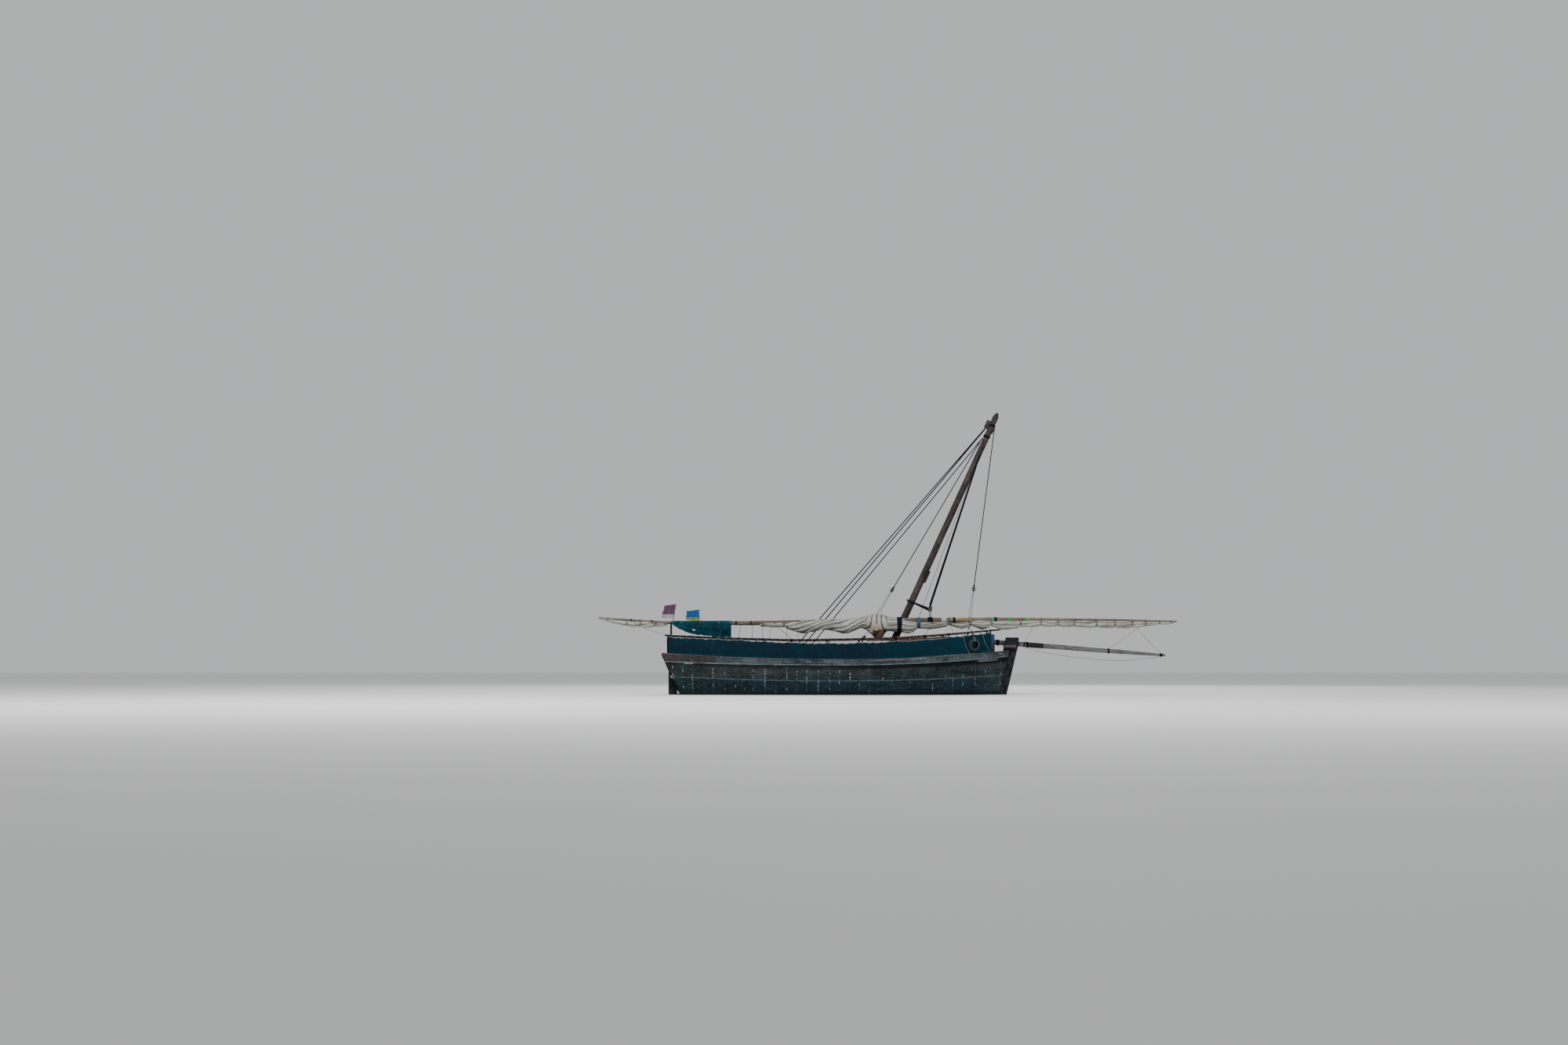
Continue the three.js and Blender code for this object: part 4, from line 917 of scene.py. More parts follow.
def curve_through(points, step):
    """Smooth path through points, with a point about every step metres."""
    nodes = [Vector(p) for p in points]
    ends = [2 * nodes[0] - nodes[1]] + nodes + [2 * nodes[-1] - nodes[-2]]
    path = [nodes[0]]
    for k in range(1, len(ends) - 2):
        p0, p1, p2, p3 = ends[k - 1:k + 3]
        count = max(int((p2 - p1).length / step), 1)
        for n in range(1, count + 1):
            u = n / count
            path.append(0.5 * ((2 * p1) + (p2 - p0) * u + (2 * p0 - 5 * p1 + 4 * p2 - p3) * u * u
                               + (3 * p1 - p0 - 3 * p2 + p3) * u ** 3))
    return path


def straight(start, end, count):
    """Points from start to end, count steps apart."""
    return [start.lerp(end, k / count) for k in range(count + 1)]


def sagging(start, end, sag, count):
    """Line between two points that hangs by sag at its middle."""
    start, end = Vector(start), Vector(end)
    return [start.lerp(end, k / count) - Vector((0, 0, 4 * sag * (k / count) * (1 - k / count)))
            for k in range(count + 1)]


# Hull
def station(t):
    """Top of the shell, half breadth, fullness and hollow at a share t of the length."""
    _, z, breadth = sheer_row(t)
    return z - CAP_THICK, breadth, smooth_read(STATIONS, t, 2), smooth_read(STATIONS, t, 3)


def section_point(t, s, inset=0.0, side=1, row=None):
    """Point of the hull's section at share s of its height, pulled in along its slope."""
    top, breadth, fine, hollow = row or station(t)

    def half(share):
        return breadth * math.sin(math.pi / 2 * clamp(share) ** fine) ** hollow

    low, high = max(s - 0.02, 0), min(s + 0.02, 1)
    rise, spread = (high - low) * (top - HULL_BOTTOM), half(high) - half(low)
    size = math.hypot(rise, spread)
    y = half(s) - inset * rise / size
    z = lerp(HULL_BOTTOM, top, s)
    if s < 1:
        z = min(z + inset * spread / size, top - 0.001 * (1 - s))
    return Vector((lerp(stern_x(z), plank_end_x(z), t), side * max(y, SIDING + 0.0003), z))


def share_up(z, row):
    """Share of a station's height, row being what station gives."""
    return (z - HULL_BOTTOM) / (row[0] - HULL_BOTTOM)


def shell_point(x, z, side=1, inset=0.0):
    """Point of the shell's outside at a height, near x."""
    t = share_at(x, z)
    row = station(t)
    return section_point(t, clamp(share_up(z, row)), inset, side, row)


# Share of the section's height at each seam, from keel to gunwale
SEAMS = [0, 0.10, 0.20, 0.31, 0.42, 0.53, 0.635, 0.735, 0.82, 0.895, 1.0]
SEAM_HALF = 0.0028
SEAM_DEEP = 0.010
HULL_COLUMNS = 110
PLANK = 0.060


def hull_rows():
    """Share of height, inset and V place of each lengthwise line of the shell."""
    rows = []
    for k, (low, high) in enumerate(zip(SEAMS, SEAMS[1:])):
        edge = SEAM_HALF if k else 0
        rows += [(low + edge, 0.0, k + 0.02), (lerp(low, high, 0.33), -0.002, k + 0.33),
                 (lerp(low, high, 0.67), -0.002, k + 0.67)]
        if k < len(SEAMS) - 2:
            rows += [(high - SEAM_HALF, 0.0, k + 0.98), (high, SEAM_DEEP, k + 1.0)]
        else:
            rows.append((high, 0.0, k + 1.0))
    return rows


def make_planking(name, side):
    """One side of the shell: strakes with sunken seams outside, plain inside, closed round all its edges."""
    shape = Shape()
    shares = steps(0, 1, HULL_COLUMNS)
    rows = hull_rows()
    stations = [station(t) for t in shares]
    skin, uvs = [], []
    for s, inset, v in rows:
        line = []
        for t, row in zip(shares, stations):
            ripple = 0.004 * wobble(t * 30, v * 0.7, 3 * side)
            point = section_point(t, s, inset + ripple if inset <= 0 else inset, side, row)
            line.append(point)
            uvs.append((point.x, v))
        skin.append(line)
    inside = []
    for s, _, v in reversed(rows[::3] + rows[-1:]):
        line = [section_point(t, s, PLANK, side, row) for t, row in zip(shares, stations)]
        uvs += [(point.x, v + INSIDE_V) for point in line]
        inside.append(line)
    whole = skin + inside
    shape.grid(whole + [whole[0]], False, uvs + [(p.x, INSIDE_V) for p in whole[0]])
    count = len(shares)
    turns = len(whole)
    for column, turned in ((0, False), (count - 1, True)):
        outer = [r * count + column for r in range(len(skin))]
        inner = [r * count + column for r in range(turns - 1, len(skin) - 1, -1)]
        close_strip(shape, outer, inner, turned)
    shape.corners, shape.faces, shape.uvs = weld(shape)
    shape.piece(f"strakes_{name}", "tarred_planking", replaces=[f"planking_{name}"],
                crease=math.radians(28))


def close_strip(shape, outer, inner, turned):
    """Faces between two chains of corners of unlike counts, along the end of a shell."""
    a = b = 0
    while a < len(outer) - 1 or b < len(inner) - 1:
        ahead = b >= len(inner) - 1 or (a < len(outer) - 1 and (a + 1) / len(outer) <= (b + 1) / len(inner))
        third = outer[a + 1] if ahead else inner[b + 1]
        face = (outer[a], inner[b], third)
        shape.faces.append(face[::-1] if turned else face)
        if ahead:
            a += 1
        else:
            b += 1


def weld(shape, size=1e-5):
    """The same shape with corners that lie together made one, and empty faces left out."""
    seen, order, uvs, index = {}, [], [], []
    for corner, uv in zip(shape.corners, shape.uvs):
        key = tuple(round(value / size) for value in corner)
        if key not in seen:
            seen[key] = len(order)
            order.append(corner)
            uvs.append(uv)
        index.append(seen[key])
    faces = []
    for face in shape.faces:
        ring = []
        for k in face:
            if index[k] not in ring:
                ring.append(index[k])
        if len(ring) > 2:
            faces.append(tuple(ring))
    return order, faces, uvs


# Lengthwise timbers on the shell
WALE_JOINTS = [-5.9, -1.2, 1.9, 5.2]
CAP_JOINTS = [-4.6, 0.2, 4.4]


def share_columns(count, joints, row_x):
    """Shares along the length, with three close columns at each joint: (share, at a joint)."""
    shares = [(k / count, False) for k in range(count + 1)]
    for x in joints:
        low, high = 0.0, 1.0
        for _ in range(30):
            middle = (low + high) / 2
            low, high = (middle, high) if row_x(middle) < x else (low, middle)
        gap = 0.0004
        shares = [row for row in shares if abs(row[0] - low) > 2.5 * gap]
        shares += [(low - gap, False), (low, True), (low + gap, False)]
    return sorted(shares)


def make_wale(name, side):
    """Heavy rubbing timber below the gunwale, its edges worn unevenly round, butted in five lengths."""
    shape = Shape()
    rings, uvs = [], []
    columns = share_columns(150, WALE_JOINTS, lambda t: sheer_row(t)[0])
    for t, joint in columns:
        row = station(t)
        x, sheer, _ = sheer_row(t)
        depth = smooth_read(WALE_DEPTH, clamp(x, -8.4, 8.4))
        high = 1.0
        low = share_up(sheer - depth, row)
        wear = 0.5 + 0.9 * abs(wobble(x * 1.4, 5 * side, 2))
        edge = 0.018 + 0.020 * wear
        tall = (high - low) * (row[0] - HULL_BOTTOM)
        proud = WALE_PROUD - (0.012 if joint else 0.0)
        hew = 0.005 * wobble(x * 2.2, side, 9)
        profile = [(0, -0.004), (0, proud - edge), (edge * 0.35, proud - edge * 0.35), (edge, proud),
                   (tall * 0.5, proud + hew), (tall - edge * 0.6, proud),
                   (tall - edge * 0.2, proud - edge * 0.2), (tall, proud - edge * 0.6), (tall, -0.004)]
        ring = []
        for up, out in profile:
            point = section_point(t, clamp(low + up / (row[0] - HULL_BOTTOM)), 0, side, row)
            ring.append(point + Vector((0, side * out, 0)))
            uvs.append((point.x, WALE_V + up / tall))
        rings.append(ring)
    shape.loft(rings, uvs)
    shape.piece(f"rubbing_wale_{name}", "grey_timber", replaces=[f"wale_{name}"], crease=SHARP)


CAP_SPIKES = [-7.8 + 0.6 * k for k in range(26)]


def make_cap(name, side):
    """Gunwale cap: planks laid flat on the frame heads, with worn edges and butt joints."""
    shape = Shape()
    rings = []
    for t, joint in share_columns(130, CAP_JOINTS, lambda t: sheer_row(t)[0]):
        x, z, breadth = sheer_row(t)
        inner = max(breadth - 0.162, SIDING + 0.0003)
        outer = breadth + 0.082 - (0.006 if joint else 0) + 0.005 * wobble(x * 2, side, 4)
        low, high = (z - CAP_THICK + 0.0003, z - (0.008 if joint else 0.0) + 0.002 * wobble(x * 3, side, 7))
        edge = 0.012
        ring = [(inner, low), (outer - edge, low), (outer, low + edge), (outer, high - edge),
                (outer - edge, high), (lerp(inner, outer, 0.5), high + 0.001), (inner + edge, high),
                (inner, high - edge)]
        rings.append([Vector((x, side * y, h)) for y, h in ring])
    shape.loft(rings)
    for x in CAP_SPIKES:
        for off in (0.03, -0.11):
            shape.ball((x, side * (sheer_half(x) + off), sheer_z(x) - 0.001), 0.011, (1, 1, 0.35), 5, 8)
    shape.piece(f"gunwale_cap_{name}", "grey_timber", "cap_timber", replaces=[f"gunwale_{name}"],
                crease=SHARP)


def make_nails():
    """Plugged and nailed fastenings on the shell: one pair to a strake at every frame, joined."""
    shape = Shape()
    x = -7.1
    while x < 7.2:
        for low, high in zip(SEAMS[4:], SEAMS[5:-1]):
            for share in (0.2, 0.8):
                s = lerp(low, high, share)
                t = share_at(x, lerp(HULL_BOTTOM, 1.7, s))
                for side in (1, -1):
                    point = section_point(t, s, 0.001, side)
                    jitter = Vector((RANDOM.uniform(-0.012, 0.012), 0, RANDOM.uniform(-0.008, 0.008)))
                    shape.ball(point + jitter, 0.013, (1, 0.35, 1), 4, 7)
        x += FASTENING_STEP
    shape.piece("hull_fastenings", "grey_timber", "cap_timber")


def share_at(x, z):
    return clamp((x - stern_x(z)) / (plank_end_x(z) - stern_x(z)))


def make_chafing():
    """Half-round rubbing battens: a pale one amidships and worn ones below the wale at the bow."""
    shape = Shape()
    # x from, x to, depth below the sheer at both ends, half height
    battens = [(1.3, 4.12, 0.075, 0.07, 0.03), (6.5, 7.55, 0.365, 0.375, 0.045),
               (-7.3, -6.9, 0.42, 0.4, 0.05)]
    for x0, x1, deep0, deep1, half in battens:
        for side in (1, -1):
            rings = []
            for u in steps(0, 1, 24):
                x = lerp(x0, x1, u)
                z = sheer_z(x) - lerp(deep0, deep1, u)
                point = shell_point(x, z, side)
                face = 0.0 if deep0 > 0.3 and x0 > 0 else WALE_PROUD
                taper = min(1.0, 6 * u + 0.3, 6 * (1 - u) + 0.3)
                rings.append([point
                              + Vector((0, side * (face - 0.004 + 0.018 * taper * math.sin(a)),
                                        half * taper * math.cos(a)))
                              for a in (0, 0.5, 1.05, 1.57, 2.1, 2.65, math.pi)])
            shape.loft(rings)
    shape.piece("chafing_battens", "grey_timber", "bowsprit_timber", crease=SHARP)


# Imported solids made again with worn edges, and the width of the edge
WORN = {
    "stem": 0.016, "keel": 0.014, "sternpost": 0.008, "transom": 0.006, "rudder": 0.006, "taffrail": 0.010,
    "bowsprit_bitt": 0.012, "yard_crutch": 0.010, "masthead_block": 0.012, "mast_step": 0.014,
    "beam_poop_aft": 0.010, "beam_poop": 0.010, "beam_hold_aft": 0.010, "beam_hold_fore": 0.010,
    "beam_foredeck": 0.010, "keelson": 0.010,
}


def baked(obj):
    """Applies an object's modifiers to its mesh."""
    bpy.context.view_layer.update()
    graph = bpy.context.evaluated_depsgraph_get()
    mesh = bpy.data.meshes.new_from_object(obj.evaluated_get(graph))
    obj.modifiers.clear()
    obj.data = mesh


def make_worn(node, width):
    """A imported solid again, with its long edges worn round."""
    mesh = frame["nodes"][node].data.copy()
    mesh.name = f"{node}_worn"
    work = bmesh.new()
    work.from_mesh(mesh)
    bmesh.ops.remove_doubles(work, verts=work.verts, dist=1e-5)
    bmesh.ops.dissolve_limit(work, angle_limit=math.radians(1.0), verts=work.verts, edges=work.edges)
    work.to_mesh(mesh)
    work.free()
    mesh.materials.clear()
    slot, paint = SLOTS[node], SLOT_PAINT[SLOTS[node]]
    if node == "masthead_block":
        slot, paint = "spar_timber", "mast_timber"
    obj = place_piece(mesh, slot, paint, "rudder" if node == "rudder" else "hull", [node])
    edge = obj.modifiers.new("edge", "BEVEL")
    edge.width = width
    edge.segments = 2
    edge.limit_method = "ANGLE"
    edge.angle_limit = math.radians(35)
    edge.use_clamp_overlap = True
    baked(obj)
    obj.data.shade_smooth()
    obj.data.set_sharp_from_angle(angle=SHARP)


# Decks and floor as separate planks
PLANK_WIDE = 0.19
PLANK_GAP = 0.005


def lining_half(x, z, spare=0.158):
    """Half breadth inside the frames at a height."""
    return shell_point(x, z).y - spare


def make_deck(name, node, x0, x1, top, thick, keep_off):
    """Planks laid along the boat, each cut to the lining; keep_off(x, y) leaves places bare."""
    shape = Shape()
    count = int(2.4 / PLANK_WIDE)
    for row in range(-count, count + 1):
        y = row * PLANK_WIDE
        half = PLANK_WIDE / 2 - PLANK_GAP / 2
        reach = abs(y) + half
        runs, run = [], []
        for x in steps(x0, x1, 60):
            fits = reach < lining_half(x, top(x) - thick) and not keep_off(x, y)
            if fits:
                run.append(x)
            elif run:
                runs.append(run)
                run = []
        if run:
            runs.append(run)
        for run in runs:
            if len(run) < 2:
                continue
            lift = RANDOM.uniform(-0.002, 0.001)
            rings = []
            for x in run:
                high = top(x) + lift
                low = high - thick
                rings.append([(x, y - half, low), (x, y + half, low), (x, y + half, high - 0.004),
                              (x, y + half - 0.005, high), (x, y - half + 0.005, high),
                              (x, y - half, high - 0.004)])
            shape.loft(rings)
    shape.piece(name, "deck_timber", replaces=[node], crease=SHARP)


def poop_top(x):
    return sheer_z(x) - 0.3237


def make_decks():
    """Planks of the two decks, which leave room for sternpost and stem, and of the hold's floor."""
    def fore_top(x):
        return sheer_z(x) - 0.060

    def near_post(x, y):
        return abs(y) < 0.19 and x < -7.7

    def near_stem(x, y):
        return abs(y) < 0.19 and x > stem_x(1.5) - 0.59

    make_deck("poop_planks", "poop_deck", -8.13, -4.25, poop_top, 0.045, near_post)
    make_deck("foredeck_planks", "foredeck", 5.30, 7.75, fore_top, 0.045, near_stem)
    make_deck("floor_planks", "hold_floor", -6.2, 5.3, lambda x: -0.600, 0.0495, lambda x, y: False)


# Rails and stanchions
def wavy_pole(shape, path, radius, sides=12, wander=0.006, seed=0.0):
    """Rough pole along a path, its line and its thickness a little uneven."""
    points = []
    for k, point in enumerate(path):
        shift = Vector((0, wobble(k * 0.21, seed, 1), wobble(k * 0.21, seed, 5)))
        points.append(Vector(point) + wander * shift)
    shape.tube(points, lambda u: radius * (1 + 0.07 * wobble(u * 23, seed, 3)), sides)


def rail_point(x, side):
    return Vector((x, side * rail_y(x), rail_z(x)))


def make_rails():
    """Rails and stanchions of rough poles on both sides and at the stern, lashed where they cross."""
    for name, side in SIDES:
        shape, ties = Shape(), Shape()
        xs = [-8.24] + STANCHION_XS + [7.69]
        spine = [rail_point(x, side) for x in xs]
        wavy_pole(shape, curve_through(spine, 0.16), RAIL_R, 12, 0.006, side * 2.0)
        for k, x in enumerate(STANCHION_XS):
            foot = Vector((x, side * rail_y(x), sheer_z(x) + 0.0003))
            head = rail_point(x, side)
            thick = POST_R * (1.45 if abs(x - 3.97) < 0.1 else 1.0)
            wavy_pole(shape, straight(foot, head, 8), thick, 10, 0.004, k + side)
            along = Vector((1, 0, (rail_z(x + 0.2) - rail_z(x - 0.2)) / 0.4))
            ties.turns(head - Vector((0.045, 0, 0)), along, RAIL_R + 0.005, 0.006, 4)
            ties.turns(head + Vector((0.045, 0, 0)), along, RAIL_R + 0.005, 0.006, 3)
            ties.turns(head - Vector((0, 0, 0.07)), (0, 0, 1), thick + 0.005, 0.006, 5)
        shape.piece(f"rail_poles_{name}", "dark_pole", replaces=[f"rail_{name}"], crease=SHARP)
        ties.piece(f"rail_lashings_{name}", "dark_rope")
    shape = Shape()
    half = rail_y(STERN_RAIL_X - RAIL_R) - 1.05 * RAIL_R - 0.001
    spine = [Vector((STERN_RAIL_X, y, STERN_RAIL_Z)) for y in steps(-half, half, 18)]
    wavy_pole(shape, spine, RAIL_R, 12, 0.004, 8.0)
    for y in (-1.05, 1.05):
        foot = Vector((STERN_RAIL_X, y, sheer_z(STERN_RAIL_X) - 0.323))
        head = Vector((STERN_RAIL_X, y, STERN_RAIL_Z))
        wavy_pole(shape, straight(foot, head, 9), POST_R * 1.1, 10, 0.003, y)
        shape.turns((STERN_RAIL_X, y - 0.03, STERN_RAIL_Z), (0, 1, 0), RAIL_R + 0.004, 0.006, 4)
    shape.piece("stern_rail_poles", "dark_pole", replaces=["rail_stern"], crease=SHARP)


def make_rail_board():
    """Two spare reddish boards inside the starboard rail amidships."""
    shape = Shape()
    for x0, x1, drop, thick in ((1.25, 4.05, 0.075, 0.055), (2.75, 5.05, 0.150, 0.045)):
        rings = []
        for x in steps(x0, x1, 18):
            y, z = -(rail_y(x) - 0.066), rail_z(x) - drop
            half = 0.055
            rings.append([(x, y - 0.012, z - half), (x, y + 0.012, z - half),
                          (x, y + 0.014, z + half - thick * 0.1), (x, y - 0.01, z + half)])
        shape.loft(rings)
    shape.piece("rail_boards", "red_timber", "board_timber", crease=SHARP)


# Cloths

# Share of U for each 1/m of bend
HOLLOW_GAIN = 0.12


def store_hollows(work, rounds=5):
    """Puts in U how far each corner of a cloth stands proud of its neighbours, 0.5 where it is flat; sheet
    paints turn it into painted shade and highlight.
    """
    work.verts.ensure_lookup_table()
    near = [[edge.other_vert(vert) for edge in vert.link_edges] for vert in work.verts]
    proud = []
    for vert, others in zip(work.verts, near):
        middle = sum((other.co for other in others), Vector()) / len(others)
        reach = sum((other.co - vert.co).length_squared for other in others) / len(others)
        proud.append(clamp((vert.co - middle).dot(vert.normal) / reach, -9, 9))
    for _ in range(rounds):
        proud = [(2 * value + sum(proud[other.index] for other in others)) / (2 + len(others))
                 for value, others in zip(proud, near)]
    layer = work.loops.layers.uv.new("UVMap")
    for face in work.faces:
        for loop in face.loops:
            loop[layer].uv = (clamp(0.5 + HOLLOW_GAIN * proud[loop.vert.index]), 0.5)


def sheet_piece(name, rows, slot, paint=None, body="hull", thick=0.004, holes=None, replaces=()):
    """Thin closed cloth from a grid of points; holes(point) leaves faces out."""
    shape = Shape()
    shape.grid(rows)
    if holes:
        kept = []
        for face in shape.faces:
            middle = sum((Vector(shape.corners[k]) for k in face), Vector()) / len(face)
            if not holes(middle):
                kept.append(face)
        shape.faces = kept
    mesh = bpy.data.meshes.new(name)
    mesh.from_pydata(shape.corners, [], shape.faces)
    work = bmesh.new()
    work.from_mesh(mesh)
    loose = [v for v in work.verts if not v.link_faces]
    bmesh.ops.delete(work, geom=loose, context="VERTS")
    bmesh.ops.recalc_face_normals(work, faces=work.faces)
    bmesh.ops.solidify(work, geom=work.faces[:], thickness=thick)
    work.normal_update()
    store_hollows(work)
    work.to_mesh(mesh)
    work.free()
    mesh.shade_smooth()
    mesh.set_sharp_from_angle(angle=math.radians(60))
    return place_piece(mesh, slot, paint, body, replaces)


def between(x, posts):
    """How far x lies between two posts: 0 at a post, 1 halfway."""
    for low, high in zip(posts, posts[1:]):
        if low <= x <= high:
            return math.sin(math.pi * (x - low) / (high - low))
    return 0.0


# x of the side cloths' ends, and their columns and rows of points
CLOTH_ENDS = (-8.06, 7.19)
CLOTH_COLUMNS, CLOTH_ROWS = 620, 20


def cloth_depth(x):
    return smooth_read(CLOTH_TOP, x) - sheer_z(x)


def make_wash_cloths():
    """Cloths laced along the rails of both sides, creased from their lacings, with roped hems."""
    ties = [CLOTH_ENDS[0]] + STANCHION_XS[1:] + [CLOTH_ENDS[1]]
    columns, rows = CLOTH_COLUMNS, CLOTH_ROWS
    for name, side in SIDES:
        grid = [[] for _ in range(rows + 1)]
        hem = []
        laced = [-7.95]
        while laced[-1] < 7.1:
            laced.append(laced[-1] + 0.36 + 0.1 * wobble(laced[-1] * 3, side, 1))
        for x in steps(*CLOTH_ENDS, columns):
            sag = between(x, ties)
            ripple = wobble(x * 2.1, side * 3, 0)
            high = smooth_read(CLOTH_TOP, x)
            high = high - 0.035 * sag + 0.016 * ripple - 0.03 * (between(x, laced) - 0.5)
            low = sheer_z(x) + 0.006
            tight = sum(math.exp(-((x - place) / 0.035) ** 2) for place in laced)
            for r in range(rows + 1):
                v = r / rows
                belly = math.sin(math.pi * min(v * 1.15, 1)) * (0.010 + 0.010 * sag)
                fold = 0.034 * wobble(x * 3.1 + 0.8 * v, v * 0.9, side * 7 + 2)
                fold += 0.016 * wobble(x * 8.0 + 1.6 * v, v * 1.3, side * 7 + 5)
                crease = 0.016 * (1 - 2 * abs(wobble(x * 2.4 + 2.2 * v, v * 2.4, side * 11)))
                crease -= 0.022 * tight * v ** 3
                y = rail_y(x) + POST_R + 0.02 + belly
                y += (fold + crease) * (0.35 + 0.65 * math.sin(math.pi * v))
                grid[r].append((x, side * max(y, rail_y(x) + POST_R + 0.004), lerp(low, high, v)))
            hem.append(grid[rows][-1])
        cloth = sheet_piece(f"wash_cloth_{name}_sheet", grid, "wash_cloth", replaces=[f"wash_cloth_{name}"])
        trim = Shape()
        trim.tube(hem[::3] + [hem[-1]], 0.014, 6)
        lacing = Shape()
        for x in laced[:-1]:
            px, py, pz = hem[round((x - CLOTH_ENDS[0]) / 15.25 * columns)]
            rail = Vector((x + 0.05, side * rail_y(x), rail_z(x)))
            low = Vector((px, py, pz - 0.03))
            over = rail + Vector((0, side * (RAIL_R + 0.012), 0.012))
            top = rail + Vector((0, 0, RAIL_R + 0.008))
            lacing.tube(curve_through([low, over, top, rail - Vector((0, side * (RAIL_R + 0.008), 0)),
                                       low - Vector((0, side * 0.03, 0.0))], 0.04), 0.006, 5)
            trim.turns(rail, (1, 0, 0), RAIL_R + 0.010, 0.009, 2)
            trim.ball(over, 0.022, (1, 0.8, 1), 6, 8)
        lacing.piece(f"cloth_lacing_{name}", "dark_rope")
        shared = trim.piece(f"cloth_hem_{name}", "pale_rope")
        area = sum(cloth_depth(x) for x in steps(*CLOTH_ENDS, 60)) / 61 * 15.3
    make_stern_cloth()


def make_stern_cloth():
    """Cloth of the same kind across the stern, laced to its rail."""
    half = rail_y(STERN_RAIL_X - RAIL_R) - 1.05 * RAIL_R - 0.061
    low = SHEER[0][1] + 0.002
    grid = []
    for v in steps(0, 1, 14):
        line = []
        for u in steps(0, 1, 60):
            y = lerp(-half, half, u)
            sag = math.sin(math.pi * clamp(abs(u - 0.5) * 2 * 1.3 % 1))
            z = lerp(low, 2.735 - 0.02 * sag, v)
            x = STERN_RAIL_X - POST_R - 0.006 - 0.012 * math.sin(math.pi * v) * (1 + wobble(y * 3, v, 0))
            x += 0.008 * wobble(y * 6, v * 2, 4)
            line.append((min(x, STERN_RAIL_X - POST_R - 0.003), y, z))
        grid.append(line)
    cloth = sheet_piece("wash_cloth_stern_sheet", grid, "wash_cloth", replaces=["wash_cloth_stern"])
    trim = Shape()
    trim.tube(grid[-1], 0.012, 6)
    hem = trim.piece("cloth_hem_stern", "pale_rope")
    lacing = Shape()
    for y in steps(-half + 0.06, half - 0.06, 8):
        ring = [(STERN_RAIL_X - 0.046, y, 2.7), (STERN_RAIL_X - 0.044, y, 2.79),
                (STERN_RAIL_X, y + 0.01, 2.834), (STERN_RAIL_X + 0.044, y + 0.01,
                                                  2.79), (STERN_RAIL_X - 0.01, y, 2.69)]
        lacing.tube(curve_through(ring, 0.04), 0.005, 5)
    lacing.piece("cloth_lacing_stern", "dark_rope")
    2 * half + 0.02


# Furled sail, repeated from the part: x, rise above the yard line, lowest height, half width
SAILS = {"tail": [(-11.33, 0, 3.555, 0.07), (-10.09, 0, 3.251, 0.095), (-9.25, 0, 3.188, 0.115),
                  (-8.5, 0, 3.24, 0.105), (-8.15, 0, 3.27, 0.095)],
         "main": [(-3.78, 0.02, 3.24, 0.13), (-2.625, 0.04, 3.18, 0.15), (-1.8, 0.1, 2.965, 0.21),
                  (-0.62, 0.12, 3.12, 0.19), (0.31, 0.13, 2.96, 0.22), (1.05, 0.19, 3.18, 0.23),
                  (1.29, 0.25, 3.12, 0.235), (1.46, 0.31, 2.98, 0.25), (1.76, 0.35, 2.68, 0.25),
                  (2.06, 0.31, 2.69, 0.24), (2.18, 0.26, 2.96, 0.24), (2.29, 0.22, 3.06, 0.235),
                  (2.6, 0.16, 3.02, 0.232), (3.0, 0.11, 2.96, 0.225), (3.3, -0.01, 2.93, 0.2),
                  (3.8, -0.06, 3.15, 0.15), (4.39, -0.06, 3.14, 0.14), (5.24, -0.06, 3.26, 0.12),
                  (5.8, -0.05, 3.15, 0.13), (6.33, -0.02, 3.25, 0.13), (6.77, 0.0, 3.12, 0.14),
                  (7.22, 0.0, 3.22, 0.14), (7.82, 0.01, 3.11, 0.15), (9.0, 0.01, 3.235, 0.14),
                  (10.07, 0.01, 3.23, 0.125), (12.0, 0.01, 3.18, 0.125), (13.8, 0.01, 3.176, 0.11),
                  (15.0, 0, 3.29, 0.08), (15.9, 0, 3.39, 0.06)]}
# name, profile above, x from and to, rolls round the bundle, their twist in radians a metre, depth, gaskets
FURLS = [
    ("tail", "tail", -11.33, -8.15, 5, 1.2, 0.040, [-11.0, -10.1, -9.45, -8.75, -8.25]),
    ("aft", "main", -3.78, 1.29, 7, 5.0, 0.085, [-3.62, -2.62]),
    ("bunch", "main", 1.29, 2.29, 7, 3.0, 0.130, []),
    ("mid", "main", 2.29, 5.24, 9, 1.4, 0.080, [2.86, 3.77, 5.20]),
    ("fore", "main", 5.24, 15.90, 7, 0.5, 0.055,
     [5.28, 6.24, 7.22, 8.60, 9.56, 10.38, 11.15, 12.20, 13.08, 13.90, 14.54, 15.20, 15.74]),
]
# x of the two broad bands that hold the run instead of gaskets
BANDS = (2.86, 3.77)
# x where the run leaves the line of the aft spar for that of the fore spar
RUN_SHIFT = (5.24, 6.20)
RING = 112
RING_STEP = 0.030
RUN_DEPTH = 0.082


BUNCH_TOP = 1.80


def ridge(x, y, z):
    """Creased noise, high along narrow folds."""
    return 1 - 2 * min(abs(wobble(x, y, z)) * 1.8, 1.0)


def rolls(phase):
    """Height of rolled cloth from 0 to 1: round rolls between sharp creases."""
    return abs(math.sin(phase)) ** 0.75


